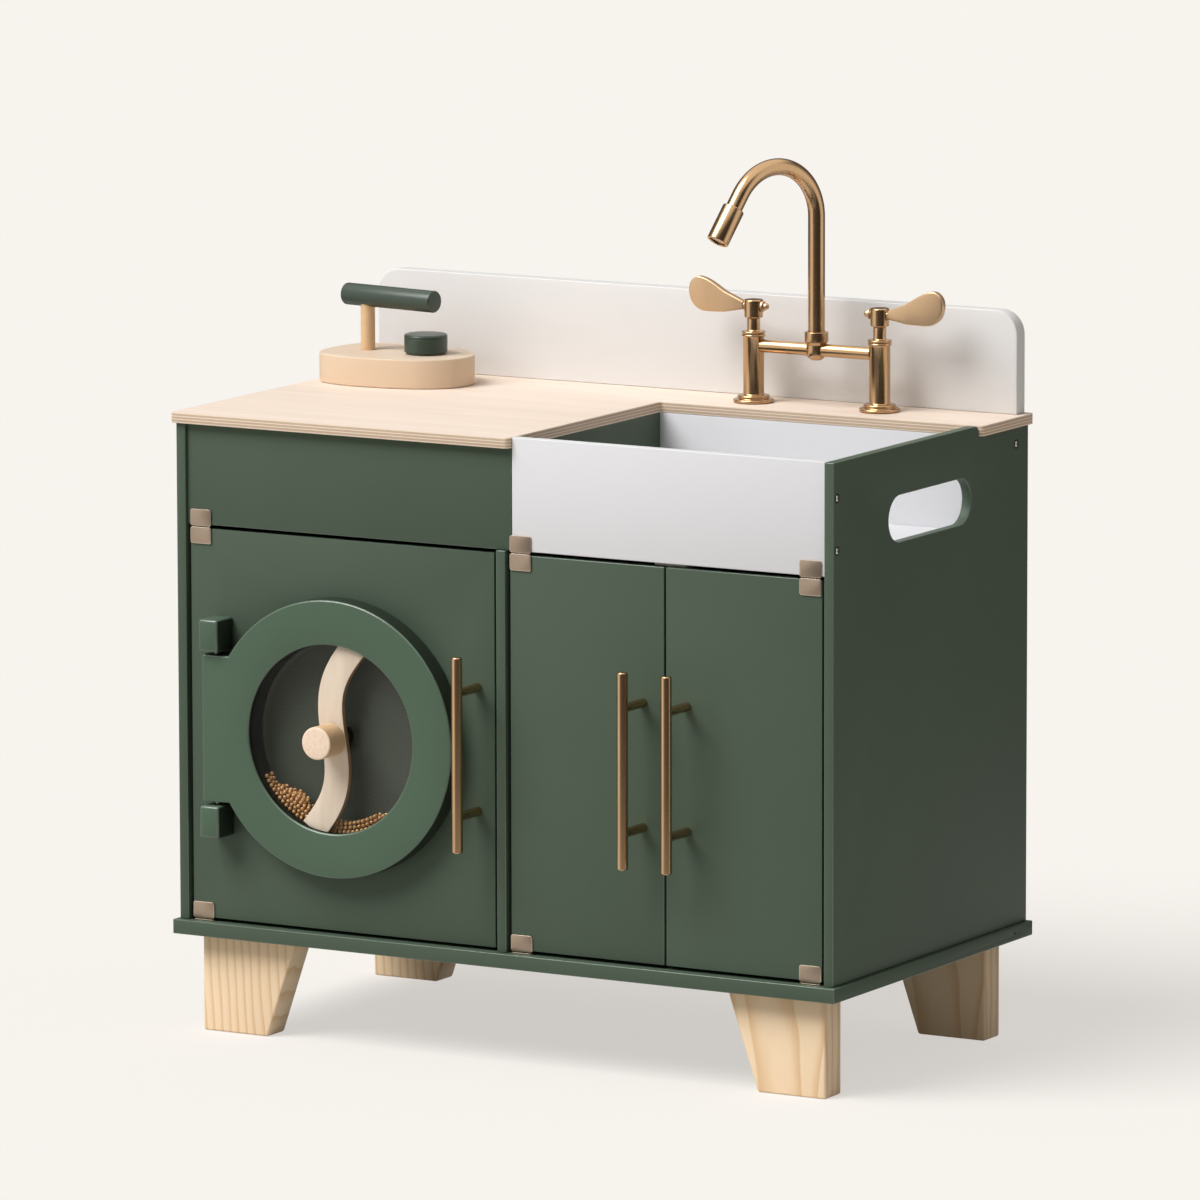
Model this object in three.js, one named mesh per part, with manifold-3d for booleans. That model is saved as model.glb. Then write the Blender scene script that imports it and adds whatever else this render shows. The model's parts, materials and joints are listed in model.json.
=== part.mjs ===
// Toy laundry and sink unit: painted boards on four pine legs. A washer bay with a
// hinged porthole is on the left, a cupboard under a sink on the right. A bridge tap
// and a loose toy iron stand on the plywood worktop. Millimetres, +Z up, front at -Y.
import * as THREE from 'three';
import { mergeVertices } from 'three/addons/utils/BufferGeometryUtils.js';
import Module from 'manifold-3d';

const wasm = await Module();
wasm.setup();

// Carcass boards
const unit_width = 640;
const unit_depth = 346;
const side_height = 440;
const board = 9;
const base_thickness = 12.5;
const base_overhang_side = 4;
const base_overhang_front = 5.5;
const base_overhang_back = 4;
const divider_offset = 1;
const rail_thickness = 18;
const rail_height = 30;
const seat = 0.2;
const cut_overrun = 2;

// Legs
const leg_height = 86;
const leg_top_width = 94;
const leg_foot_width = 64.5;
const leg_thickness = 28;
const leg_inset_side = 18.6;
const leg_inset_front = 18.8;
const leg_inset_back = 25;

// Worktop and backsplash
const worktop_thickness = 9;
const worktop_overhang_side = 4;
const worktop_overhang_front = 3.5;
const worktop_overhang_back = 3;
const slab_past_divider = 5;
const worktop_corner_radius = 4;
const worktop_inner_radius = 3;
const notch_radius = 5;
const backsplash_end_inset = 3;
const backsplash_height = 88.5;
const backsplash_thickness = 15;
const backsplash_corner_radius = 21;
const backsplash_back_inset = 4;

// Sink, fascia and doors
const sink_strip = 90;
const sink_board = 6;
const front_board_height = 96;
const door_recess = 3;
const door_side_gap = 3.3;
const door_end_gap = 3.2;
const door_meeting_gap = 2;
const catch_width = 30;
const catch_height = 16;
const catch_depth = 12;

// Hand hole in the right side, and the small bore in the base's right edge
const hand_hole_length = 146;
const hand_hole_height = 39.5;
const hand_hole_ahead_of_middle = 4;
const hand_hole_below_top = 61;
const edge_bore_radius = 1.6;
const edge_bore_depth = 12;
const edge_bore_from_back = 28;

// Pivot clips on the door corners
const clip_width = 21;
const clip_height = 14.5;
const clip_sheet = 1;
const hinge_inset = 6;
const pivot_pin_radius = 1.5;
const pivot_pin_reach = 7;
const pivot_pin_clearance = 0.4;

// Bar handles
const handle_length = 167;
const handle_bar_radius = 4.75;
const handle_post_radius = 4;
const handle_post_spacing = 106;
const handle_standoff = 35;
const washer_handle_inset = 16.3;
const sink_handle_inset = 20;

// Porthole door
const ring_side_margin = 30.75;
const ring_band = 37.7;
const ring_thickness = 20;
const ring_back_gap = 1;
const ring_lip = 3;
const ring_edge_round = 2;
const ring_wall_clearance = 0.4;
const tab_height = 127;
const tab_past_pivot = 10.5;
const tab_back_round = 9;
const tab_front_round = 3;
const tab_into_ring = 7;
const porthole_pivot_inset = 32.4;
const porthole_pin_radius = 2.5;
const porthole_pin_clearance = 0.3;
const hinge_block_width = 19.4;
const hinge_block_height = 28;
const hinge_block_depth = 26.2;
const hinge_block_gap = 3.2;
const hinge_block_bore_depth = 20;

// Drum cartridge behind the window
const window_thickness = 2;
const cup_past_window = 3.6;
const cup_wall = 2.2;
const cup_past_ring = 9;
const cup_flange_width = 6.4;
const cup_flange_thickness = 2.2;
const cup_hole_clearance = 2.4;
const cup_boss_radius = 8;
const cup_boss_height = 7;
const window_gap = 0.8;

// Stirring blade with its knob and spindle, and the beads that it stirs
const blade_window_gap = 0.5;
const blade_width = 24;
const blade_thickness = 5;
const blade_sway = 12;
const blade_tilt_degrees = 14.6;
const spindle_radius = 3;
const spindle_clearance = 0.3;
const knob_radius = 14.15;
const knob_length = 25;
const knob_grip_on_spindle = 16;
const knob_edge_round = 1.5;
const knob_window_gap = 0.5;
const heap_wall_gap = 0.3;
const heap_left_degrees = 212;
const heap_valley_degrees = 256;
const heap_right_degrees = 312;
const heap_valley_share = 0.93;

// Tap: two posts, a bridge, a swivelling spout and two lever heads
const tap_spacing = 123;
const tap_left_of_sink_middle = 17.75;
const tap_from_back = 53;
const post_radius = 9.05;
const flange_radius = 17.75;
const flange_height = 3.2;
const flange_step_radius = 14;
const flange_step_height = 3.4;
const post_collar_bottom = 57;
const post_collar_radius = 10.4;
const post_collar_height = 5;
const stem_radius = 5.65;
const head_bottom = 73.5;
const head_height = 15.5;
const head_radius = 8.15;
const head_edge_round = 1.2;
const spigot_radius = 4;
const spigot_height = 4;
const stud_radius = 4;
const stud_below_top = 10;
const bridge_height = 49.2;
const bridge_radius = 5.6;
const tee_radius = 8.75;
const tee_bottom = 40.5;
const tee_foot_radius = 5.2;
const tee_foot_rise = 1;
const tee_bowl_rise = 5.2;
const tee_neck = 54.5;
const tee_neck_flare = 2;
const spout_collar_radius = 10.2;
const spout_collar_top = 65;
const spout_radius = 7.3;
const spout_socket_depth = 8;
const spout_straight_top = 164;
const spout_rise_radius = 46;
const spout_fall_radius = 48.5;
const spout_fall_degrees = 56;
const spout_run = 19;
const spout_rest_turn_degrees = -20;
const nozzle_radius = 9.6;
const nozzle_length = 32.5;
const nozzle_grip = 6;
const nozzle_clearance = 0.5;
const nozzle_bore_radius = 7.2;
const turning_clearance = 0.3;
const lever_reach = 62;
const lever_thickness = 7;
const lever_low = 76;
const lever_high = 105.6;
const lever_tang_radius = 3.3;
const lever_tang_grip = 13;
const lever_nub_reach = 15;
const lever_nub_radius = 3;
const lever_nub_collar_radius = 4.6;
const lever_nub_collar_length = 2;

// Toy iron
const iron_from_left = 71.5;
const iron_from_back = 86;
const iron_length = 138.5;
const iron_width = 98;
const iron_height = 26;
const iron_edge_round = 1.5;
const iron_dowel_offset = -32.9;
const iron_dowel_radius = 6.3;
const iron_dowel_seat_depth = 10;
const iron_handle_offset = -6.9;
const iron_handle_length = 99;
const iron_handle_radius = 9.6;
const iron_handle_height = 47.5;
const iron_handle_bore_depth = 9.5;
const iron_handle_turn_degrees = -8.5;
const iron_knob_offset = 25.9;
const iron_knob_radius = 18.9;
const iron_knob_height = 15.7;
const iron_knob_foot_radius = 17.4;
const iron_knob_foot_height = 1.5;
const iron_knob_round = 2;
const iron_pivot_radius = 3;
const iron_pivot_depth = 8;

// Facet counts
const large_round = 64;
const medium_round = 40;
const small_round = 24;
const pin_round = 12;
const spout_sides = 16;
const spout_steps = 44;
const arc_steps = 4;

// Places worked out from the sizes above
const base_top = leg_height + base_thickness;
const unit_top = base_top + side_height;
const worktop_under = unit_top - worktop_thickness;
const inner_side = unit_width / 2 - board;
const divider_left = divider_offset - board / 2;
const divider_right = divider_offset + board / 2;
const slab_edge = divider_right + slab_past_divider;
const door_front = door_recess;
const door_back = door_front + board;
const sink_back = unit_depth - sink_strip;
const front_under = unit_top - front_board_height;
const sink_under = front_under;
const door_low = base_top + door_end_gap;
const door_high = front_under - door_end_gap;
const door_middle = (door_low + door_high) / 2;
const door_height = door_high - door_low;
const washer_door_left = -inner_side + door_side_gap;
const washer_door_right = divider_left - door_side_gap;
const sink_doors_left = divider_right + door_side_gap;
const sink_doors_right = inner_side - door_side_gap;
const sink_door_width = (sink_doors_right - sink_doors_left - door_meeting_gap) / 2;
const back_inside = unit_depth - board;
const rail_front = back_inside - seat - rail_thickness;
const rail_under = worktop_under - rail_height;
const worktop_left = -unit_width / 2 - worktop_overhang_side;
const worktop_right = unit_width / 2 + worktop_overhang_side;
const worktop_rear = unit_depth + worktop_overhang_back;
const ring_front = door_front - ring_back_gap - ring_thickness;
const porthole_x = (washer_door_left + washer_door_right) / 2;
const porthole_pivot_x = washer_door_left + porthole_pivot_inset;
const pivot_to_ring = porthole_x - porthole_pivot_x;
const ring_outer_radius = porthole_x - washer_door_left - ring_side_margin;
const ring_window_radius = ring_outer_radius - ring_band;
const cup_radius = ring_window_radius + cup_past_window;
const cup_flange_radius = cup_radius + cup_flange_width;
const blade_radius = ring_window_radius - blade_window_gap;
const tap_x = (slab_edge + inner_side) / 2 - tap_left_of_sink_middle;
const tap_y = unit_depth - tap_from_back;
const iron_x = worktop_left + iron_from_left;
const iron_y = unit_depth - iron_from_back;
const lever_centre = head_bottom + (spigot_height + turning_clearance + head_height) / 2;

// Finishes
const green = { color: '#4f5e4f', roughness: 0.55, metalness: 0 };
const ring_green = { color: '#516553', roughness: 0.5, metalness: 0 };
const white = { color: '#e6e4e2', roughness: 0.5, metalness: 0 };
const plywood = { color: '#f0dfcf', roughness: 0.6, metalness: 0 };
const pine = { color: '#eed2b0', roughness: 0.6, metalness: 0 };
const beech = { color: '#f0dac4', roughness: 0.55, metalness: 0 };
const dark_green = { color: '#3a4a3c', roughness: 0.45, metalness: 0 };
const drum_grey = { color: '#4a4f46', roughness: 0.5, metalness: 0 };
const clear = { color: '#eef2f0', roughness: 0.05, metalness: 0 };
const bronze = { color: '#b08a5c', roughness: 0.3, metalness: 1 };
const satin_clip = { color: '#a8978a', roughness: 0.35, metalness: 1 };
const steel = { color: '#b8b8b6', roughness: 0.3, metalness: 1 };
const bead_gold = { color: '#c8925a', roughness: 0.35, metalness: 0 };

// A closed solid for cutting and joining, from a geometry
function solid(geometry) {
  const bare = geometry.clone();
  bare.deleteAttribute('normal');
  bare.deleteAttribute('uv');
  const merged = mergeVertices(bare);
  return new wasm.Manifold(new wasm.Mesh({
    numProp: 3,
    vertProperties: new Float32Array(merged.attributes.position.array),
    triVerts: new Uint32Array(merged.index.array),
  }));
}

// The geometry of a finished solid
function surface(shape) {
  const mesh = shape.getMesh();
  const geometry = new THREE.BufferGeometry();
  geometry.setAttribute('position', new THREE.BufferAttribute(mesh.vertProperties, 3));
  geometry.setIndex(new THREE.BufferAttribute(mesh.triVerts, 1));
  const flat = geometry.toNonIndexed();
  flat.computeVertexNormals();
  return flat;
}

function joined(...geometries) {
  return surface(geometries.map(solid).reduce((whole, part) => whole.add(part)));
}

function cut(geometry, ...cutters) {
  return surface(cutters.map(solid).reduce((whole, part) => whole.subtract(part), solid(geometry)));
}

function common(first, second) {
  return surface(solid(first).intersect(solid(second)));
}

// A geometry moved to a place
function at(geometry, x, y, z) {
  return geometry.translate(x, y, z);
}

// A geometry made along one axis, turned to run along another
function along(axis, geometry, made_on) {
  const turns = {
    zx: [[0, 1, 0], [0, 0, 1], [1, 0, 0]],
    zy: [[1, 0, 0], [0, 0, 1], [0, -1, 0]],
    yz: [[1, 0, 0], [0, 0, 1], [0, -1, 0]],
    yx: [[0, -1, 0], [1, 0, 0], [0, 0, 1]],
  };
  const turn = turns[made_on + axis];
  if (!turn) return geometry;
  const basis = new THREE.Matrix4();
  basis.makeBasis(...turn.map((column) => new THREE.Vector3(...column)));
  return geometry.applyMatrix4(basis);
}

// An outline extruded along an axis, centred on it. The outline is drawn in (x, y) for
// z, in (x, z) for y and in (y, z) for x.
function extruded(axis, shape, depth, segments = arc_steps) {
  const geometry = new THREE.ExtrudeGeometry(shape, {
    depth, bevelEnabled: false, curveSegments: segments,
  });
  return along(axis, geometry.translate(0, 0, -depth / 2), 'z');
}

// A round rod centred on its place
function rod(axis, radius, length, sides = small_round) {
  return along(axis, new THREE.CylinderGeometry(radius, radius, length, sides), 'y');
}

// A turned shape. The profile is a list of [radius, place along the axis].
function turned(axis, profile, sides = small_round) {
  const points = profile.map(([radius, place]) => new THREE.Vector2(radius, place));
  return along(axis, new THREE.LatheGeometry(points, sides), 'y');
}

// Points of a quarter round about a centre, from one angle to the next, in degrees
function arcPoints(centre_x, centre_y, radius, from_degrees, to_degrees, steps = arc_steps) {
  return Array.from({ length: steps + 1 }, (unused, step) => {
    const angle = THREE.MathUtils.degToRad(from_degrees + (to_degrees - from_degrees) * step / steps);
    return [centre_x + radius * Math.cos(angle), centre_y + radius * Math.sin(angle)];
  });
}

function outline(points) {
  return new THREE.Shape(points.map(([x, y]) => new THREE.Vector2(x, y)));
}

function named(name, geometry, finish, x = 0, y = 0, z = 0) {
  const mesh = new THREE.Mesh(geometry, new THREE.MeshStandardMaterial(finish));
  mesh.name = name;
  mesh.position.set(x, y, z);
  return mesh;
}

// A plain board between its lowest and highest corner
function boardPiece(name, low, high, finish) {
  const size = high.map((top, axis) => top - low[axis]);
  const middle = high.map((top, axis) => (top + low[axis]) / 2);
  return named(name, new THREE.BoxGeometry(...size), finish, ...middle);
}

// Base board with a small bore in its right edge
function baseBoard() {
  const width = unit_width + 2 * base_overhang_side;
  const depth = unit_depth + base_overhang_front + base_overhang_back;
  const middle_y = (unit_depth + base_overhang_back - base_overhang_front) / 2;
  const bore = rod('x', edge_bore_radius, edge_bore_depth + cut_overrun, pin_round);
  const bore_y = unit_depth - edge_bore_from_back - middle_y;
  at(bore, width / 2 - (edge_bore_depth - cut_overrun) / 2, bore_y, 0);
  const geometry = cut(new THREE.BoxGeometry(width, depth, base_thickness), bore);
  return named('base_board', geometry, green, 0, middle_y, leg_height + base_thickness / 2);
}

// Four pine legs: upright outside, slanted inside
function legs() {
  const front = leg_inset_front - base_overhang_front + leg_thickness / 2;
  const rear = unit_depth + base_overhang_back - leg_inset_back - leg_thickness / 2;
  const outer = unit_width / 2 + base_overhang_side - leg_inset_side;
  const height = leg_height - seat;
  const places = [
    ['front_left_leg', -1, front], ['front_right_leg', 1, front],
    ['rear_left_leg', -1, rear], ['rear_right_leg', 1, rear],
  ];
  return places.map(([name, side, y]) => {
    const shape = outline([
      [0, 0], [-side * leg_foot_width, 0], [-side * leg_top_width, height], [0, height],
    ]);
    return named(name, extruded('y', shape, leg_thickness), pine, side * outer, y, 0);
  });
}

// Left side, divider and right side, all outlines in (y, z)
function uprights() {
  const low = base_top + seat;
  const side_back = unit_depth;
  const left = outline([
    [0, low], [side_back, low], [side_back, worktop_under - seat], [0, worktop_under - seat],
  ]);
  const notch_front = sink_back - seat;
  const right = outline([
    [0, low], [side_back, low], [side_back, worktop_under - seat],
    [notch_front, worktop_under - seat],
    ...arcPoints(notch_front - notch_radius, unit_top - notch_radius, notch_radius, 0, 90), [0, unit_top],
  ]);
  const divider = outline([
    [0, low], [back_inside - seat, low], [back_inside - seat, rail_under - seat],
    [rail_front - seat, rail_under - seat], [rail_front - seat, worktop_under - seat],
    [door_back + seat, worktop_under - seat], [door_back + seat, front_under - seat],
    [0, front_under - seat],
  ]);
  const end_radius = hand_hole_height / 2;
  const end_centre = hand_hole_length / 2 - end_radius;
  const hole = outline([
    ...arcPoints(end_centre, 0, end_radius, -90, 90, 4 * arc_steps),
    ...arcPoints(-end_centre, 0, end_radius, 90, 270, 4 * arc_steps),
  ]);
  const hole_cutter = at(extruded('x', hole, board + cut_overrun),
    0, unit_depth / 2 - hand_hole_ahead_of_middle, unit_top - hand_hole_below_top);
  const side_x = (unit_width - board) / 2;
  return [
    named('left_side_panel', extruded('x', left, board), green, -side_x),
    named('centre_divider', extruded('x', divider, board), green, divider_offset),
    named('right_side_panel', cut(extruded('x', right, board), hole_cutter), green, side_x),
  ];
}

// Back board, rear rail, fascia, apron and the sink's inner boards
function innerBoards() {
  const across = inner_side - seat;
  const sink_left = divider_right + seat;
  const clip_inside = door_back + clip_sheet + 2 * seat;
  const sink_inside = sink_under + sink_board + seat;
  return [
    boardPiece('back_panel', [-across, back_inside, base_top + seat],
      [across, unit_depth, worktop_under - seat], green),
    boardPiece('rear_rail', [-across, rail_front, rail_under],
      [across, back_inside - seat, worktop_under - seat], pine),
    boardPiece('washer_fascia', [-across, door_front, front_under],
      [slab_edge - seat, door_back, worktop_under - seat], green),
    boardPiece('sink_apron', [slab_edge + seat, door_front, front_under],
      [across, door_back, unit_top], white),
    boardPiece('sink_floor', [sink_left, clip_inside, sink_under],
      [across, sink_back - seat, sink_under + sink_board], white),
    boardPiece('sink_back_wall', [sink_left, sink_back, sink_under],
      [across, sink_back + sink_board, worktop_under - seat], white),
    boardPiece('sink_left_lining', [sink_left, clip_inside, sink_inside],
      [slab_edge, sink_back - seat, worktop_under - seat], green),
  ];
}

// L-shaped plywood worktop with two stud holes, outline in (x, y)
function worktop() {
  const corner = worktop_corner_radius;
  const inner = worktop_inner_radius;
  const front = -worktop_overhang_front;
  const shape = outline([
    ...arcPoints(worktop_left + corner, front + corner, corner, 180, 270),
    ...arcPoints(slab_edge - corner, front + corner, corner, 270, 360),
    ...arcPoints(slab_edge + inner, sink_back - inner, inner, 180, 90),
    ...arcPoints(worktop_right - corner, sink_back + corner, corner, 270, 360),
    ...arcPoints(worktop_right - corner, worktop_rear - corner, corner, 0, 90),
    ...arcPoints(worktop_left + corner, worktop_rear - corner, corner, 90, 180),
  ]);
  const holes = [-1, 1].map((side) => at(rod('z', stud_radius + seat, worktop_thickness + cut_overrun),
    tap_x + side * tap_spacing / 2, tap_y, 0));
  const geometry = cut(extruded('z', shape, worktop_thickness), ...holes);
  return named('worktop', geometry, plywood, 0, 0, unit_top - worktop_thickness / 2);
}

function backsplash() {
  const half = unit_width / 2 - backsplash_end_inset;
  const round = backsplash_corner_radius;
  const shape = outline([
    [-half, seat], [half, seat],
    ...arcPoints(half - round, backsplash_height - round, round, 0, 90, 2 * arc_steps),
    ...arcPoints(round - half, backsplash_height - round, round, 90, 180, 2 * arc_steps),
  ]);
  const middle_y = worktop_rear - backsplash_back_inset - backsplash_thickness / 2;
  return named('backsplash', extruded('y', shape, backsplash_thickness), white, 0, middle_y, unit_top);
}

// A sheet-metal clip over a board's edge, with its origin on the pivot at that edge
function clipShell() {
  const inner = board / 2 + seat;
  const outer = inner + clip_sheet;
  const crown = seat + clip_sheet;
  const low = crown - clip_height;
  const shape = outline([
    [-outer, low], [-inner, low], [-inner, seat], [inner, seat],
    [inner, low], [outer, low], [outer, crown], [-outer, crown],
  ]);
  return at(extruded('x', shape, clip_width), clip_width / 2 - hinge_inset, 0, 0);
}

// A pivot pin that rises from a height to its reach inside the door's edge
function pivotPin(from) {
  const reach = door_end_gap + pivot_pin_reach;
  return at(rod('z', pivot_pin_radius, reach - from, pin_round), 0, 0, (reach + from) / 2);
}

function drilledClip() {
  const hole = rod('z', pivot_pin_radius + pivot_pin_clearance, clip_height, pin_round);
  return cut(clipShell(), hole);
}

// The fixed halves of one door's pivots: a clip above and a leaf on the base board
function fixedPivots(name, x, side) {
  const leaf_depth = board + 2 * (seat + clip_sheet);
  const leaf_plate = at(new THREE.BoxGeometry(clip_width, leaf_depth, clip_sheet),
    clip_width / 2 - hinge_inset, 0, seat + clip_sheet / 2);
  const y = door_front + board / 2;
  const half_sheet = clip_sheet / 2;
  const clip = named(`${name}_top_pivot_clip`, joined(clipShell(), pivotPin(half_sheet + seat)),
    satin_clip, x, y, front_under);
  clip.rotation.set(Math.PI, 0, side > 0 ? Math.PI : 0, 'ZXY');
  const leaf = named(`${name}_base_pivot_leaf`, joined(leaf_plate, pivotPin(half_sheet + seat)),
    satin_clip, x, y, base_top);
  leaf.rotation.z = side > 0 ? Math.PI : 0;
  return [clip, leaf];
}

// The moving halves, on the door's top and bottom edge
function doorClips(name, x, side) {
  const y = door_front + board / 2;
  const top = named(`${name}_top_clip`, drilledClip(), satin_clip, x, y, door_high);
  top.rotation.z = side > 0 ? Math.PI : 0;
  const bottom = named(`${name}_bottom_clip`, drilledClip(), satin_clip, x, y, door_low);
  bottom.rotation.set(Math.PI, 0, side > 0 ? Math.PI : 0, 'ZXY');
  return [top, bottom];
}

// Bores for the pivot pins in a door's top and bottom edge, in the door's own frame
function pivotBores(x) {
  const depth = pivot_pin_reach + pivot_pin_clearance;
  return [-1, 1].map((end) => at(
    rod('z', pivot_pin_radius + pivot_pin_clearance, 2 * depth, pin_round), x, 0, end * door_height / 2));
}

// A round bar on two round posts, with its origin on the door's front face
function barHandle() {
  const post_length = handle_standoff - seat;
  const posts = [-1, 1].map((end) => at(
    rod('y', handle_post_radius, post_length), 0, -seat - post_length / 2, end * handle_post_spacing / 2));
  return joined(at(rod('z', handle_bar_radius, handle_length), 0, -handle_standoff, 0), ...posts);
}

// Washer door: a board with a round hole, its clips, handle, hinge blocks and pin
function washerDoor() {
  const width = washer_door_right - washer_door_left;
  const pivot_x = washer_door_left + hinge_inset;
  const y = door_front + board / 2;
  const hole = rod('y', cup_radius + cup_hole_clearance, board + cut_overrun, large_round);
  const panel = cut(new THREE.BoxGeometry(width, board, door_height), hole,
    ...pivotBores(hinge_inset - width / 2));
  const handle_x = washer_door_right - washer_handle_inset;
  const block_middle = tab_height / 2 + hinge_block_gap + hinge_block_height / 2;
  const block_y = door_front - seat - hinge_block_depth / 2;
  const bore_radius = porthole_pin_radius + porthole_pin_clearance;
  const blocks = [['top', 1], ['bottom', -1]].map(([place, end]) => {
    const body = new THREE.BoxGeometry(hinge_block_width, hinge_block_depth, hinge_block_height);
    const bore = at(rod('z', bore_radius, hinge_block_bore_depth + cut_overrun, pin_round),
      0, ring_front + ring_thickness / 2 - block_y,
      -end * (hinge_block_height + cut_overrun - hinge_block_bore_depth) / 2);
    return named(`porthole_${place}_block`, cut(body, bore), ring_green,
      porthole_pivot_x, block_y, door_middle + end * block_middle);
  });
  const pin_length = tab_height + 2 * (hinge_block_gap + hinge_block_bore_depth - seat);
  return [
    named('washer_door_panel', panel, green, porthole_x, y, door_middle),
    ...doorClips('washer_door', pivot_x, -1),
    named('washer_door_handle', barHandle(), bronze, handle_x, door_front, door_middle),
    ...blocks,
    named('porthole_pin', rod('z', porthole_pin_radius, pin_length, pin_round), steel,
      porthole_pivot_x, ring_front + ring_thickness / 2, door_middle),
  ];
}

// Porthole ring with its hinge tab. The frame's origin is the window's centre, on the
// ring's front face, and the ring's thickness runs to +Y.
function portholeRing() {
  const round = ring_edge_round;
  const rebate = cup_radius + ring_wall_clearance;
  const flange_rebate = cup_flange_radius + ring_wall_clearance;
  const flange_bottom = ring_thickness - cup_flange_thickness - seat;
  const ring = turned('y', [
    [ring_window_radius, round],
    ...arcPoints(ring_window_radius + round, round, round, 180, 270),
    ...arcPoints(ring_outer_radius - round, round, round, -90, 0),
    [ring_outer_radius, ring_thickness], [flange_rebate, ring_thickness],
    [flange_rebate, flange_bottom], [rebate, flange_bottom], [rebate, ring_lip],
    [ring_window_radius, ring_lip], [ring_window_radius, round],
  ], large_round);
  const tab_end = -pivot_to_ring - tab_past_pivot;
  const tab_root = tab_into_ring - ring_outer_radius + (ring_outer_radius - flange_rebate) / 2;
  const tab_outline = outline([
    ...arcPoints(tab_end + tab_front_round, tab_front_round, tab_front_round, 180, 270),
    [tab_root, 0], [tab_root, ring_thickness],
    ...arcPoints(tab_end + tab_back_round, ring_thickness - tab_back_round, tab_back_round, 90, 180),
  ]);
  const bore_radius = porthole_pin_radius + porthole_pin_clearance;
  const bore = at(rod('z', bore_radius, tab_height + cut_overrun, pin_round),
    -pivot_to_ring, ring_thickness / 2, 0);
  return cut(joined(ring, extruded('z', tab_outline, tab_height)), bore);
}

// Drum cup: an open tub behind the window, with a flange in the ring's back and a boss
// that carries the spindle
function drumCup() {
  const mouth = ring_lip + window_thickness + 2 * seat;
  const back = ring_thickness + cup_past_ring;
  const flange_back = ring_thickness - seat;
  const flange_front = flange_back - cup_flange_thickness + seat;
  const inner = cup_radius - cup_wall;
  const boss_top = back - cup_wall - cup_boss_height;
  const bore = spindle_radius + spindle_clearance;
  return turned('y', [
    [0, back - cup_wall], [bore, back - cup_wall], [bore, boss_top], [cup_boss_radius, boss_top],
    [cup_boss_radius, back - cup_wall], [inner, back - cup_wall], [inner, mouth], [cup_radius, mouth],
    [cup_radius, flange_front], [cup_flange_radius, flange_front], [cup_flange_radius, flange_back],
    [cup_radius, flange_back], [cup_radius, back], [0, back],
  ], large_round);
}

function drumWindow() {
  const hole = spindle_radius + spindle_clearance;
  const low = ring_lip + seat;
  const high = low + window_thickness;
  return turned('y', [
    [hole, low], [cup_radius, low], [cup_radius, high], [hole, high], [hole, low],
  ], large_round);
}

// The places along Y, behind the ring's front face, of what turns in the drum
const window_back = ring_lip + seat + window_thickness;
const blade_front = window_back + window_gap;
const blade_back = blade_front + blade_thickness;
const knob_back = ring_lip - knob_window_gap;
const cup_inside = ring_thickness + cup_past_ring - cup_wall;
const spindle_end = cup_inside - seat;

// S-shaped blade: a strip whose middle line sways once each way, trimmed to a disc
function stirringBlade() {
  const steps = 4 * arc_steps;
  const half_length = blade_radius + cut_overrun;
  const middle = (share) => [-blade_sway * Math.sin(Math.PI * share), half_length * share];
  const edge = (side) => Array.from({ length: steps + 1 }, (unused, step) => {
    const share = 2 * step / steps - 1;
    const [x, z] = middle(share);
    const slope = -blade_sway * Math.PI * Math.cos(Math.PI * share) / half_length;
    const length = Math.hypot(1, slope);
    return [x + side * blade_width / 2 / length, z - side * slope * blade_width / 2 / length];
  });
  const strip = extruded('y', outline([...edge(1), ...edge(-1).reverse()]), blade_thickness);
  const tilted = strip.rotateY(THREE.MathUtils.degToRad(blade_tilt_degrees));
  const disc = rod('y', blade_radius, 2 * blade_thickness, large_round);
  return cut(common(tilted, disc), rod('y', spindle_radius + seat, blade_thickness + cut_overrun));
}

function stirringKnob() {
  const round = knob_edge_round;
  const front = knob_back - knob_length;
  const bore = spindle_radius + seat;
  const bore_end = knob_back - knob_grip_on_spindle - seat;
  return turned('y', [
    [0, front], ...arcPoints(knob_radius - round, front + round, round, -90, 0),
    [knob_radius, knob_back], [bore, knob_back], [bore, bore_end], [0, bore_end],
  ], medium_round);
}

// Bead heap: two low drifts on the drum's wall, behind the blade's sweep
function beadHeap() {
  const wall = cup_radius - cup_wall - heap_wall_gap;
  const valley = THREE.MathUtils.degToRad(heap_valley_degrees);
  const valley_radius = wall * heap_valley_share;
  const shape = outline([
    ...arcPoints(0, 0, wall, heap_left_degrees, heap_right_degrees, 4 * arc_steps),
    [valley_radius * Math.cos(valley), valley_radius * Math.sin(valley)],
  ]);
  const front = blade_back + window_gap;
  const depth = cup_inside - seat - front;
  return at(extruded('y', shape, depth), 0, front + depth / 2, 0);
}

function porthole() {
  const group = new THREE.Group();
  group.position.set(porthole_x, ring_front, door_middle);
  const spindle_front = knob_back - knob_grip_on_spindle;
  const spindle_length = spindle_end - spindle_front;
  group.add(
    named('porthole_ring', portholeRing(), ring_green),
    named('drum_cup', drumCup(), drum_grey),
    named('drum_window', drumWindow(), clear),
    named('stirring_blade', stirringBlade(), beech, 0, (blade_front + blade_back) / 2, 0),
    named('stirring_knob', stirringKnob(), beech),
    named('stirring_spindle', rod('y', spindle_radius, spindle_length), steel,
      0, (spindle_front + spindle_end) / 2, 0),
    named('bead_heap', beadHeap(), bead_gold),
  );
  return group;
}

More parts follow.
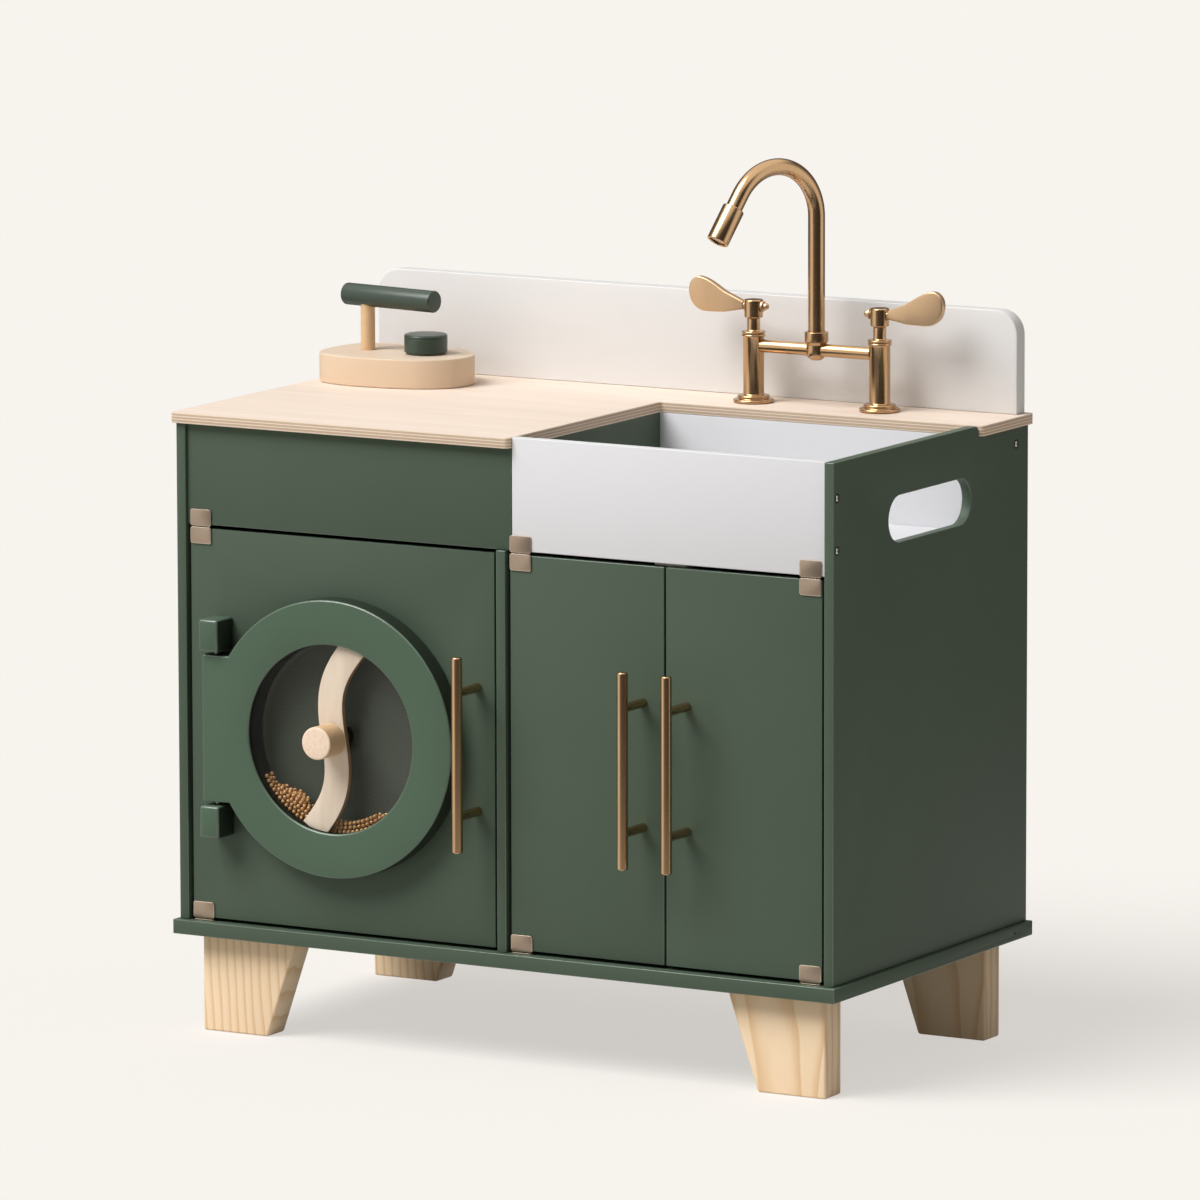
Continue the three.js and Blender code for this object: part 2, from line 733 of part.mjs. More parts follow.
// The two sink doors, each with its clips and handle
function sinkDoors() {
  return [['left', -1], ['right', 1]].flatMap(([place, side]) => {
    const outer = side < 0 ? sink_doors_left : sink_doors_right;
    const middle_x = outer - side * sink_door_width / 2;
    const pivot_x = outer - side * hinge_inset;
    const panel = cut(new THREE.BoxGeometry(sink_door_width, board, door_height),
      ...pivotBores(pivot_x - middle_x));
    const handle_x = outer - side * (sink_door_width - sink_handle_inset);
    return [
      named(`${place}_sink_door_panel`, panel, green, middle_x, door_front + board / 2, door_middle),
      ...doorClips(`${place}_sink_door`, pivot_x, side),
      named(`${place}_sink_door_handle`, barHandle(), bronze, handle_x, door_front, door_middle),
      ...fixedPivots(`${place}_sink_door`, pivot_x, side),
    ];
  });
}

// Catches that the doors close against
function doorCatches() {
  const front = door_back + seat;
  const meeting = (sink_doors_left + sink_doors_right) / 2;
  return [
    boardPiece('washer_door_catch',
      [divider_left - seat - catch_height, front, door_middle - catch_width / 2],
      [divider_left - seat, front + catch_depth, door_middle + catch_width / 2], white),
    boardPiece('sink_door_catch',
      [meeting - catch_width / 2, front, front_under - catch_height],
      [meeting + catch_width / 2, front + catch_depth, sink_under - seat], white),
  ];
}

// Tap post: stud, stepped flange, body, collar, stem and spigot in one turned piece
function tapPost() {
  const step_top = flange_height + flange_step_height;
  const collar_top = post_collar_bottom + post_collar_height;
  const head_seat = head_bottom - turning_clearance;
  return turned('z', [
    [0, -worktop_thickness - stud_below_top], [stud_radius, -worktop_thickness - stud_below_top],
    [stud_radius, seat], [flange_radius, seat], [flange_radius, flange_height],
    [flange_step_radius, flange_height], [flange_step_radius, step_top], [post_radius, step_top],
    [post_radius, post_collar_bottom], [post_collar_radius, post_collar_bottom],
    [post_collar_radius, collar_top], [stem_radius, collar_top], [stem_radius, head_seat],
    [spigot_radius, head_seat], [spigot_radius, head_seat + spigot_height], [0, head_seat + spigot_height],
  ]);
}

// Bridge between the posts, with the tee and collar that carry the spout
function tapBridge() {
  const tube = at(rod('x', bridge_radius, tap_spacing), 0, 0, bridge_height);
  const socket = spout_radius + turning_clearance;
  const tee = turned('z', [
    [0, tee_bottom], [tee_foot_radius, tee_bottom + tee_foot_rise],
    [tee_radius, tee_bottom + tee_bowl_rise], [tee_radius, tee_neck],
    [spout_collar_radius, tee_neck + tee_neck_flare],
    [spout_collar_radius, spout_collar_top], [0, spout_collar_top],
  ]);
  const bore = at(rod('z', socket, spout_socket_depth + cut_overrun), 0, 0,
    spout_collar_top + (cut_overrun - spout_socket_depth) / 2);
  const posts = [-1, 1].map((side) => at(rod('z', post_radius + seat, post_collar_bottom),
    side * tap_spacing / 2, 0, post_collar_bottom / 2));
  return cut(joined(tube, tee), bore, ...posts);
}

// The spout's middle line in (y, z): straight up, over two arcs, then straight down its slope
function spoutPath() {
  const arch_top = spout_straight_top + spout_rise_radius;
  const steps = spout_steps / 2;
  const low = spout_collar_top - spout_socket_depth + turning_clearance;
  const fall = THREE.MathUtils.degToRad(spout_fall_degrees);
  const points = [
    [0, low], [0, (low + spout_straight_top) / 2],
    ...arcPoints(-spout_rise_radius, spout_straight_top, spout_rise_radius, 0, 90, steps),
    ...arcPoints(-spout_rise_radius, arch_top - spout_fall_radius, spout_fall_radius,
      90, 90 + spout_fall_degrees, steps).slice(1),
  ];
  const [bend_y, bend_z] = points[points.length - 1];
  points.push([bend_y - spout_run * Math.cos(fall), bend_z - spout_run * Math.sin(fall)]);
  return points.map(([y, z]) => new THREE.Vector3(0, y, z));
}

// A path through points joined by straight stretches
function pathThrough(points) {
  const path = new THREE.CurvePath();
  points.slice(1).forEach((point, index) => path.add(new THREE.LineCurve3(points[index], point)));
  return path;
}

// Spout, swivelled in its collar to the way it stands at rest
function spoutTube() {
  const circle = new THREE.Shape().absarc(0, 0, spout_radius, 0, 2 * Math.PI);
  const geometry = new THREE.ExtrudeGeometry(circle, {
    steps: spout_steps, curveSegments: spout_sides / 2, extrudePath: pathThrough(spoutPath()),
  });
  const mesh = named('spout_tube', geometry, bronze, tap_x, tap_y, unit_top);
  mesh.rotation.z = THREE.MathUtils.degToRad(spout_rest_turn_degrees);
  return mesh;
}

// Nozzle over the spout's end, along +Y before it is turned down the spout's slope
function spoutNozzle() {
  const grip = spout_radius + nozzle_clearance;
  const body = nozzle_length - nozzle_grip;
  const geometry = turned('y', [
    [grip, -nozzle_grip], [nozzle_radius, -nozzle_grip], [nozzle_radius, body],
    [nozzle_bore_radius, body], [nozzle_bore_radius, seat], [grip, seat], [grip, -nozzle_grip],
  ]);
  const turn = THREE.MathUtils.degToRad(spout_rest_turn_degrees);
  const slope = Math.PI + THREE.MathUtils.degToRad(spout_fall_degrees);
  const tip = spoutPath().pop().applyAxisAngle(new THREE.Vector3(0, 0, 1), turn);
  const mesh = named('spout_nozzle', geometry, bronze,
    tap_x + tip.x, tap_y + tip.y, unit_top + tip.z);
  mesh.rotation.set(slope, 0, turn, 'ZXY');
  return mesh;
}

// Lever head: a cap over the post's spigot, cross-drilled for the lever's tang
function leverHead() {
  const round = head_edge_round;
  const socket = spigot_radius + turning_clearance;
  const socket_top = spigot_height + turning_clearance;
  const cap = turned('z', [
    [socket, 0], [head_radius, 0], ...arcPoints(head_radius - round, head_height - round, round, 0, 90),
    [0, head_height], [0, socket_top], [socket, socket_top], [socket, 0],
  ]);
  const tang_hole = at(rod('x', lever_tang_radius + seat, 2 * (head_radius + cut_overrun)),
    0, 0, lever_centre - head_bottom);
  return cut(cap, tang_hole);
}

// Flat paddle lever that points to one side, with a nub past the head's other side
function paddleLever(side) {
  const root = head_radius + seat;
  const span = lever_reach - root;
  const rise = lever_high - lever_low;
  const edge_shares = [
    [0.36, 0.63], [0.6, 0.89], [0.76, 1], [0.87, 1], [0.97, 0.84], [1, 0.58], [0.96, 0.3],
    [0.84, 0.08], [0.69, 0.01], [0.36, 0.02],
  ];
  const rounded = edge_shares.map(([out, up]) => [side * (root + out * span), lever_low + up * rise]);
  const curve = new THREE.SplineCurve(rounded.map(([x, z]) => new THREE.Vector2(x, z)));
  const rim = curve.getPoints(6 * arc_steps).map((point) => [point.x, point.y]);
  const top = [side * root, lever_centre + lever_tang_radius];
  const bottom = [side * root, lever_centre - lever_tang_radius];
  const plate = extruded('y', outline([top, ...rim, bottom]), lever_thickness);
  const nub_end = lever_nub_reach - lever_nub_radius;
  const tang_end = root + lever_tang_grip;
  const tang = at(rod('x', lever_tang_radius, tang_end + nub_end),
    side * (tang_end - nub_end) / 2, 0, lever_centre);
  const collar = at(rod('x', lever_nub_collar_radius, lever_nub_collar_length),
    -side * (root + lever_nub_collar_length / 2), 0, lever_centre);
  const ball = at(new THREE.SphereGeometry(lever_nub_radius, pin_round, pin_round / 2),
    -side * nub_end, 0, lever_centre);
  return joined(plate, tang, collar, ball);
}

function tap() {
  const sides = [['left', -1], ['right', 1]];
  const fixed = sides.flatMap(([place, side]) => {
    const x = tap_x + side * tap_spacing / 2;
    return [
      named(`${place}_tap_post`, tapPost(), bronze, x, tap_y, unit_top),
      named(`${place}_lever_head`, leverHead(), bronze, x, tap_y, unit_top + head_bottom),
      named(`${place}_lever_paddle`, paddleLever(side), bronze, x, tap_y, unit_top),
    ];
  });
  return [
    ...fixed,
    named('tap_bridge', tapBridge(), bronze, tap_x, tap_y, unit_top),
    spoutTube(),
    spoutNozzle(),
  ];
}

// Iron base outline in (x, y): blunt heel at -X, rounder point at +X
function ironSole() {
  const rim_shares = [
    [-0.5, 0], [-0.485, 0.24], [-0.4, 0.41], [-0.24, 0.49], [-0.04, 0.5], [0.17, 0.46],
    [0.34, 0.37], [0.46, 0.2], [0.5, 0],
  ];
  const lower = rim_shares.map(([x, y]) => [x, -y]);
  const upper = rim_shares.slice(1, -1).reverse();
  const points = [...lower, ...upper]
    .map(([x, y]) => new THREE.Vector3(x * iron_length, y * iron_width, 0));
  const rim = new THREE.CatmullRomCurve3(points, true).getPoints(medium_round).slice(0, -1);
  return outline(rim.map((point) => [point.x, point.y]));
}

function iron() {
  const round = iron_edge_round;
  const body = new THREE.ExtrudeGeometry(ironSole(), {
    depth: iron_height - 2 * round - seat, bevelEnabled: true, bevelSize: round, bevelThickness: round,
    bevelOffset: -round, bevelSegments: 2,
  });
  at(body, 0, 0, round + seat);
  const dowel_hole = at(rod('z', iron_dowel_radius + seat, 2 * iron_dowel_seat_depth),
    iron_dowel_offset, 0, iron_height);
  const pivot_hole = at(rod('z', iron_pivot_radius + turning_clearance, 2 * iron_pivot_depth),
    iron_knob_offset, 0, iron_height);
  const handle_z = iron_height + iron_handle_height;
  const handle_bore = at(rod('z', iron_dowel_radius + seat, 2 * iron_handle_bore_depth),
    0, 0, -iron_handle_radius);
  const handle_bar = at(rod('x', iron_handle_radius, iron_handle_length),
    iron_handle_offset - iron_dowel_offset, 0, 0);
  const handle = named('iron_handle', cut(handle_bar, handle_bore), dark_green,
    iron_dowel_offset, 0, handle_z);
  handle.rotation.z = THREE.MathUtils.degToRad(iron_handle_turn_degrees);
  const dowel_low = iron_height - iron_dowel_seat_depth + seat;
  const dowel_high = handle_z - iron_handle_radius + iron_handle_bore_depth - seat;
  const foot = turning_clearance;
  const foot_top = foot + iron_knob_foot_height;
  const knob_top = foot_top + iron_knob_height;
  const knob = turned('z', [
    [0, turning_clearance - iron_pivot_depth], [iron_pivot_radius, turning_clearance - iron_pivot_depth],
    [iron_pivot_radius, foot], [iron_knob_foot_radius, foot], [iron_knob_foot_radius, foot_top],
    [iron_knob_radius, foot_top],
    ...arcPoints(iron_knob_radius - iron_knob_round, knob_top - iron_knob_round, iron_knob_round, 0, 90),
    [0, knob_top],
  ], medium_round);
  const group = new THREE.Group();
  group.position.set(iron_x, iron_y, unit_top);
  group.add(
    named('iron_base', cut(body, dowel_hole, pivot_hole), beech),
    named('iron_dowel', rod('z', iron_dowel_radius, dowel_high - dowel_low), pine,
      iron_dowel_offset, 0, (dowel_high + dowel_low) / 2),
    handle,
    named('iron_dial', knob, dark_green, iron_knob_offset, 0, iron_height),
  );
  return group;
}

// Everything is placed with y = 0 at the side panels' front edge, then centred on the
// origin between the stirring knob's front face and the worktop's rear edge.
const front_reach = ring_front + knob_back - knob_length;
const unit = new THREE.Group();
unit.position.y = -(front_reach + worktop_rear) / 2;
unit.add(
  baseBoard(), ...legs(), ...uprights(), ...innerBoards(), worktop(), backsplash(),
  ...washerDoor(), ...fixedPivots('washer_door', washer_door_left + hinge_inset, -1),
  porthole(), ...sinkDoors(), ...doorCatches(), ...tap(), iron(),
);

const model = new THREE.Group();
model.add(unit);
export default model;
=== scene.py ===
import json
import math
import random

import bpy
from mathutils import Matrix, Vector
from mathutils.geometry import interpolate_bezier


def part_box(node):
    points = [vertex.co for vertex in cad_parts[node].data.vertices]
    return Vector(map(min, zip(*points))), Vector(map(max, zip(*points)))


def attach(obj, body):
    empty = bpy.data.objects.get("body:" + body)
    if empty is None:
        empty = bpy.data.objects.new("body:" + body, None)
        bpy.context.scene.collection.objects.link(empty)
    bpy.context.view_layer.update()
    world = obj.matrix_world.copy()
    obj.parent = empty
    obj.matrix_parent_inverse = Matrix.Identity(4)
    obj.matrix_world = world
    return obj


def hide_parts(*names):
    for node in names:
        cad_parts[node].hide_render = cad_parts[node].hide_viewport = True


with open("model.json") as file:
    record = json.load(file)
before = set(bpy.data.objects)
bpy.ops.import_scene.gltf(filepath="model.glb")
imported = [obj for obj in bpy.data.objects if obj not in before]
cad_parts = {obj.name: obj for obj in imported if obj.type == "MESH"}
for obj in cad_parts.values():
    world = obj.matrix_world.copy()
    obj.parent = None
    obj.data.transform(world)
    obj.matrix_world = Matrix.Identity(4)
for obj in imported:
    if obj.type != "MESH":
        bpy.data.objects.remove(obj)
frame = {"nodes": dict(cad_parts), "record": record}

# A toy laundry and sink unit of painted boards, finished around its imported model.
# Everything is in metres, in the model's own frame: +Z up and the doors facing -Y.
scene = bpy.context.scene
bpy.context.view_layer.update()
mm = 0.001

# The camera stands in front of the unit and to its right, a little above the worktop,
# far away behind a long lens, so that upright edges stay nearly parallel.
camera_yaw = math.radians(29.952)
camera_pitch = math.radians(8.900)
camera_roll = math.radians(-0.129)
camera_distance = 8.816
camera_target = Vector((9.55, -1.42, 380.0)) * mm
picture_pixels = 1200
focal_pixels = 10331.6

camera = bpy.data.objects.new("camera", bpy.data.cameras.new("camera"))
camera.data.sensor_width = 36
camera.data.lens = camera.data.sensor_width * focal_pixels / picture_pixels
level_right = Vector((math.cos(camera_yaw), math.sin(camera_yaw), 0))
level_back = Vector((math.sin(camera_yaw), -math.cos(camera_yaw), 0))
towards_camera = level_back * math.cos(camera_pitch) + Vector((0, 0, math.sin(camera_pitch)))
level_up = towards_camera.cross(level_right)
level_camera = Matrix((level_right, level_up, towards_camera)).transposed()
camera.matrix_world = (Matrix.Translation(camera_target + towards_camera * camera_distance)
                       @ level_camera.to_4x4() @ Matrix.Rotation(camera_roll, 4, "Z"))
scene.collection.objects.link(camera)
scene.camera = camera


# Pale studio: a broad soft key lamp from the upper left, an even pale surround, and a
# floor that keeps the unit's shadow. Bright metal mirrors a pale wall to the left, a pale
# strip to the right and a pale ceiling, with the dark room behind the camera between them.
def linear(colour):
    """An sRGB hex colour as linear red, green and blue, with an alpha of one."""
    parts = [int(colour[start:start + 2], 16) / 255 for start in (1, 3, 5)]
    return [part / 12.92 if part <= 0.04045 else ((part + 0.055) / 1.055) ** 2.4
            for part in parts] + [1.0]


def add_node(tree, kind, inputs=(), **settings):
    """Adds a node, or takes one that is there, with its settings, values and links. Inputs
    come by name or in order, and a node among them is linked by its first output in use."""
    made = tree.nodes.new("ShaderNode" + kind) if isinstance(kind, str) else kind
    for name, value in settings.items():
        setattr(made, name, value)
    if isinstance(inputs, dict):
        sockets = [made.inputs[name] for name in inputs]
        inputs = inputs.values()
    else:
        sockets = [socket for socket in made.inputs if socket.enabled]
    for socket, value in zip(sockets, inputs):
        if isinstance(value, bpy.types.Node):
            value = next(output for output in value.outputs if output.enabled)
        if isinstance(value, bpy.types.NodeSocket):
            tree.links.new(value, socket)
        else:
            socket.default_value = linear(value) if isinstance(value, str) else value
    return made


def set_stops(ramp, *stops):
    """Gives a colour ramp its stops, each a position and a colour."""
    elements = ramp.color_ramp.elements
    elements.remove(elements[1])
    elements[0].position, elements[0].color = stops[0]
    for position, colour in stops[1:]:
        elements.new(position).color = colour
    return ramp


backdrop_colour = "#f8f4ef"
surround_strength = 0.28
dark_room = "#1a1511"
room_strength = 1.35
ceiling_from = (0.5, 0.72)
room_turns = ((-180, 0.15), (-115, 0.08), (-92, 0.75), (-58, 1.0), (-45, 0.2), (-15, 0.07),
              (52, 0.03), (62, 0.75), (88, 0.9), (104, 0.35), (125, 0.08), (180, 0.15))
key_strength = 3.4
key_from = Vector((-0.40, -0.57, 0.90))
key_angle = math.radians(38)


def room_seen(tree, way):
    """The room's colour one way, by the angle right of the camera's side and the height."""
    across, backwards = [add_node(tree, "VectorMath", (way, level), operation="DOT_PRODUCT")
                         for level in (level_right, level_back)]
    angle = add_node(tree, "Math", (across, backwards), operation="ARCTAN2")
    share = add_node(tree, "MapRange", (angle, -math.pi, math.pi))
    walls = set_stops(add_node(tree, "ValToRGB", (share,)), *(
        ((turn + 180) / 360, [brightness] * 3 + [1]) for turn, brightness in room_turns))
    unit_way = add_node(tree, "VectorMath", (way,), operation="NORMALIZE")
    height = add_node(tree, "SeparateXYZ", (unit_way,)).outputs["Z"]
    ceiling = add_node(tree, "MapRange", (height, *ceiling_from))
    brightest = add_node(tree, "Math", (walls, ceiling), operation="MAXIMUM")
    return add_node(tree, "Mix", (brightest, dark_room, backdrop_colour), data_type="RGBA")


def by_ray(tree, lighting, seen, mirrored):
    """One look for the rays that light, one for the camera, and one for bright metal, but
    not for a ray that has passed the clear window."""
    path = add_node(tree, "LightPath").outputs
    unbent = add_node(tree, "Math", (1.0, path["Is Transmission Ray"]), operation="SUBTRACT")
    share = add_node(tree, "Math", (path["Is Glossy Ray"], unbent), operation="MULTIPLY")
    lit_or_seen = add_node(tree, "MixShader", (path["Is Camera Ray"], lighting, seen))
    return add_node(tree, "MixShader", (share, lit_or_seen, mirrored))


scene.view_settings.view_transform = "Standard"
scene.world = bpy.data.worlds.new("studio")
scene.world.use_nodes = True
room = scene.world.node_tree
room.nodes.clear()
direction = add_node(room, "TexCoord").outputs["Generated"]
surround = add_node(room, "Background", (backdrop_colour, surround_strength))
shown = add_node(room, "Background", (backdrop_colour, 1.0))
mirrored = add_node(room, "Background", (room_seen(room, direction), room_strength))
add_node(room, "OutputWorld", (by_ray(room, surround, shown, mirrored),))

key_lamp = bpy.data.objects.new("key_lamp", bpy.data.lights.new("key_lamp", "SUN"))
key_lamp.data.energy = key_strength
key_lamp.data.angle = key_angle
key_lamp.rotation_euler = key_from.to_track_quat("Z", "Y").to_euler()
scene.collection.objects.link(key_lamp)

floor_size = 60
floor_albedo = "#c4c0ba"
floor_catching = "#ebe7e2"
floor_seen_share = 0.64
room_beyond = (0.6, 1.6)
bpy.ops.object.select_all(action="DESELECT")
bpy.ops.mesh.primitive_plane_add(size=floor_size)
floor = bpy.context.object
floor.name = "floor"
floor_paper = bpy.data.materials.new("matte paper backdrop")
floor_paper.use_nodes = True
paper = floor_paper.node_tree
paper.nodes.clear()
place = add_node(paper, "TexCoord").outputs["Object"]
bouncing = add_node(paper, "BsdfDiffuse", (floor_albedo,))
catching = add_node(paper, "BsdfDiffuse", (floor_catching,))
glowing = add_node(paper, "Emission", (backdrop_colour, 1.0))
seen_floor = add_node(paper, "MixShader", (floor_seen_share, catching, glowing))
far_floor = add_node(paper, "Emission", (room_seen(paper, place), room_strength))
from_unit = add_node(paper, "VectorMath", (place,), operation="LENGTH")
far_share = add_node(paper, "MapRange", (from_unit, *room_beyond))
mirrored_floor = add_node(paper, "MixShader", (far_share, seen_floor, far_floor))
add_node(paper, "OutputMaterial", (by_ray(paper, bouncing, seen_floor, mirrored_floor),))
floor.data.materials.append(floor_paper)


# Green carcass boards: plywood sawn to size, its edges eased by hand, sprayed with a satin
# water-based lacquer and screwed together. They are the base, the two sides, the divider,
# the washer fascia, the back and the lining on the sink's left.
body_of = {node: body for body, members in frame["record"]["behaviour"]["bodies"].items()
           for node in members}


def select_only(piece):
    bpy.ops.object.select_all(action="DESELECT")
    piece.select_set(True)
    bpy.context.view_layer.objects.active = piece


def modified(piece, kind, **settings):
    """Gives a piece a modifier with its settings and applies it."""
    modifier = piece.modifiers.new(kind, kind)
    for name, value in settings.items():
        setattr(modifier, name, value)
    select_only(piece)
    bpy.ops.object.modifier_apply(modifier=kind)
    return piece


def smoothed(degrees):
    """Smooths the piece in hand, apart from the edges that are sharper than an angle."""
    bpy.ops.object.shade_smooth_by_angle(angle=math.radians(degrees))


def eased(piece, edge, segments=3, sharper_than=40, highlight_coat=None):
    """Rounds a piece's sharp edges, in a painted highlight coat if one is given, and smooths
    it.
    """
    coat = piece.data.materials.find(highlight_coat.name) if highlight_coat else -1
    modified(piece, "BEVEL", width=edge, segments=segments, limit_method="ANGLE",
             angle_limit=math.radians(sharper_than), material=coat)
    smoothed(sharper_than)
    return piece


def coated(piece, *materials):
    """Gives a piece its materials, the first of them all over."""
    piece.data.materials.clear()
    for material in materials:
        piece.data.materials.append(material)
    return piece


def settled(piece, material, node):
    """Gives a finished piece its material and lets it stand for its CAD node."""
    if material:
        coated(piece, material)
    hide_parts(node)
    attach(piece, body_of[node])
    return piece


def board_copy(node, edge, material, highlight_coat=None):
    """A board as its CAD node has it, with merged flat faces and eased edges, in a highlight
    coat if given.
    """
    piece = bpy.data.objects.new(node + "_finished", frame["nodes"][node].data.copy())
    scene.collection.objects.link(piece)
    select_only(piece)
    bpy.ops.mesh.customdata_custom_splitnormals_clear()
    bpy.ops.object.mode_set(mode="EDIT")
    bpy.ops.mesh.select_all(action="SELECT")
    bpy.ops.mesh.remove_doubles(threshold=0.01 * mm)
    bpy.ops.mesh.dissolve_limited(angle_limit=math.radians(0.5))
    bpy.ops.object.mode_set(mode="OBJECT")
    coated(piece, material, highlight_coat or material)
    return settled(eased(piece, edge, highlight_coat=highlight_coat), None, node)


def start_material(name):
    """A new material with its tree, its shader and the surface's own coordinates."""
    material = bpy.data.materials.new(name)
    material.use_nodes = True
    tree = material.node_tree
    return material, tree, tree.nodes["Principled BSDF"], add_node(tree, "TexCoord").outputs


def grains(tree, place, *sizes, detail=2, distortion=0):
    """A pattern of grains with one real size all round, or one along each axis."""
    scaled = add_node(tree, "Mapping", {
        "Vector": place, "Scale": [1 / size for size in sizes] * (3 // len(sizes))})
    return add_node(tree, "TexNoise", {
        "Vector": scaled, "Scale": 1, "Detail": detail, "Distortion": distortion})


def even_surface(name, colour, shade, clouding, grain, roughness, swing, relief, looks,
                 detail=3):
    """A tone that drifts from a colour to a shade over patches of one size, under a fine
    grain that shows in the gloss, as a swing, and in the relief, as a strength and depth."""
    material, tree, shader, surface = start_material(name)
    drift = grains(tree, surface["Object"], clouding, detail=detail)
    tint = add_node(tree, "Mix", (drift, colour, shade), data_type="RGBA")
    fine = grains(tree, surface["Object"], *grain)
    gloss = add_node(tree, "MapRange", (fine, 0, 1, roughness - swing, roughness + swing))
    bump = add_node(tree, "Bump", {"Height": fine, "Strength": relief[0],
                                   "Distance": relief[1]})
    add_node(tree, shader, {"Base Color": tint, "Roughness": gloss, "Normal": bump, **looks})
    return material


def sprayed_lacquer(name, colour, shade, roughness, shine=0.22):
    """Satin lacquer on board: an even colour with faint clouding and a fine orange peel."""
    clouding_size = 70 * mm
    peel_size = 0.9 * mm
    return even_surface(name, colour, shade, clouding_size, (peel_size,), roughness, 0.05,
                        (0.12, 0.05 * mm), {"Specular IOR Level": shine})


board_edge = 0.8 * mm
green_lacquer = sprayed_lacquer("green satin lacquer", "#4c5b4c", "#485748", 0.5)
# A near-black green for faces turned from the key lamp: painted shade on the blocks' right
# sides and the ring's walls.
painted_shade_lacquer = sprayed_lacquer("green lacquer, painted shade on sides", "#2b352a", "#262f25", 0.5)
# A paler, glossier green for the eased edges: a painted highlight where they catch the key
# lamp.
edge_highlight_lacquer = sprayed_lacquer("green lacquer, painted edge highlight", "#56665a", "#536357", 0.26, 0.6)
for node in ("base_board", "left_side_panel", "centre_divider", "right_side_panel",
             "washer_fascia", "back_panel", "sink_left_lining"):
    board_copy(node, board_edge, green_lacquer, edge_highlight_lacquer)


# Pine legs and rear rail: solid softwood sawn along the grain and clear lacquered, with
# faint growth rings, wide on the flat-sawn faces and close on the others.
def wood_finish(tree, shader, colour, fibres, roughness=0.5, relief=0.1):
    """Low satin shine over the colour, with the fibres standing up a little."""
    bump = add_node(tree, "Bump", {"Height": fibres, "Strength": relief,
                                   "Distance": 0.1 * mm})
    add_node(tree, shader, {"Base Color": colour, "Normal": bump, "Roughness": roughness,
                            "Specular IOR Level": 0.3})


def sawn_wood(name, pale, dark, pith, turn, ring_spacing):
    """Growth rings round a pith line beside the piece, with fibres along the grain that are
    drawn coarser than real ones, so that they show."""
    material, tree, shader, surface = start_material(name)
    wander_across = 45 * mm
    wander_along = 160 * mm
    fibre_width = 0.9 * mm
    fibre_length = 40 * mm
    from_pith = add_node(tree, "Mapping", {
        "Vector": surface["Object"], "Location": pith, "Rotation": turn},
        vector_type="TEXTURE")
    wander = grains(tree, from_pith, wander_across, wander_across, wander_along)
    wandering = add_node(tree, "VectorMath", (
        wander.outputs["Color"], 1.8 * ring_spacing), operation="SCALE")
    placed = add_node(tree, "VectorMath", (from_pith, wandering), operation="ADD")
    rings = add_node(tree, "TexWave", {
        "Vector": placed, "Scale": 0.1 * math.pi / ring_spacing},
        wave_type="RINGS", rings_direction="Z", wave_profile="SAW")
    late_wood = set_stops(add_node(tree, "ValToRGB", (rings.outputs["Fac"],)), (
        0.45, linear(pale)), (0.93, linear(dark)), (1.0, linear(pale)))
    late_wood.color_ramp.interpolation = "EASE"
    fibres = grains(tree, from_pith, fibre_width, fibre_width, fibre_length, detail=4)
    flecked = add_node(tree, "Mix", (0.16, late_wood, fibres), data_type="RGBA",
                       blend_type="SOFT_LIGHT")
    wood_finish(tree, shader, flecked, fibres, relief=0.15)
    return material


def middle_of(node):
    low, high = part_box(node)
    return (low + high) / 2


leg_edge = 2 * mm
leg_ring_spacing = 8 * mm
leg_tilt = (math.radians(2), math.radians(-3), 0)
pith_beside = Vector((-120, 25, 0)) * mm
pith_behind = Vector((8, 70, 0)) * mm
for node, pith_offset in (("front_left_leg", pith_beside), ("front_right_leg", pith_behind),
                          ("rear_left_leg", pith_beside), ("rear_right_leg", pith_behind)):
    pine = sawn_wood("clear lacquered pine, " + node, "#fbe0bd", "#ebc79c",
                     middle_of(node) + pith_offset, leg_tilt, leg_ring_spacing)
    board_copy(node, leg_edge, pine)
rail_ring_spacing = 6 * mm
rail_pith = middle_of("rear_rail") + Vector((0, 45, 20)) * mm
along_x = (0, math.radians(90), 0)
rail_pine = sawn_wood("planed pine rail", "#ecd0a9", "#cfa474", rail_pith, along_x,
                      rail_ring_spacing)
board_copy("rear_rail", board_edge, rail_pine)


# Sink and backsplash: the same board sprayed white, with crisp eased edges. The apron
# stands up to the worktop's level, and the floor and back wall are set in behind it.
white_lacquer = sprayed_lacquer("white satin lacquer", "#e0e0e3", "#dddde0", 0.42)
for node in ("sink_apron", "sink_floor", "sink_back_wall"):
    board_copy(node, board_edge, white_lacquer)
warm_white = sprayed_lacquer("warm white satin lacquer", "#e6e5e4", "#e3e2e1", 0.42)
board_copy("backsplash", board_edge, warm_white)


# Worktop: 9 mm birch plywood under clear matt oil. Its faces show pale rotary-cut veneer
# with long faint figure, and its edges the crossed plies with thin dark glue lines.
def on_faces(tree, surface, axis, aslant, square):
    """One where the surface looks along an axis, fading to nothing where it looks aside."""
    facing = add_node(tree, "SeparateXYZ", (surface["Normal"],)).outputs[axis]
    squareness = add_node(tree, "Math", (facing,), operation="ABSOLUTE")
    return add_node(tree, "MapRange", (squareness, aslant, square))


birch, tree, shader, surface = start_material("oiled birch plywood")
worktop_edge = 0.6 * mm
worktop_low, worktop_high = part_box("worktop")
plies = 7
glue_share = 0.14
figure_length = 260 * mm
figure_width = 16 * mm
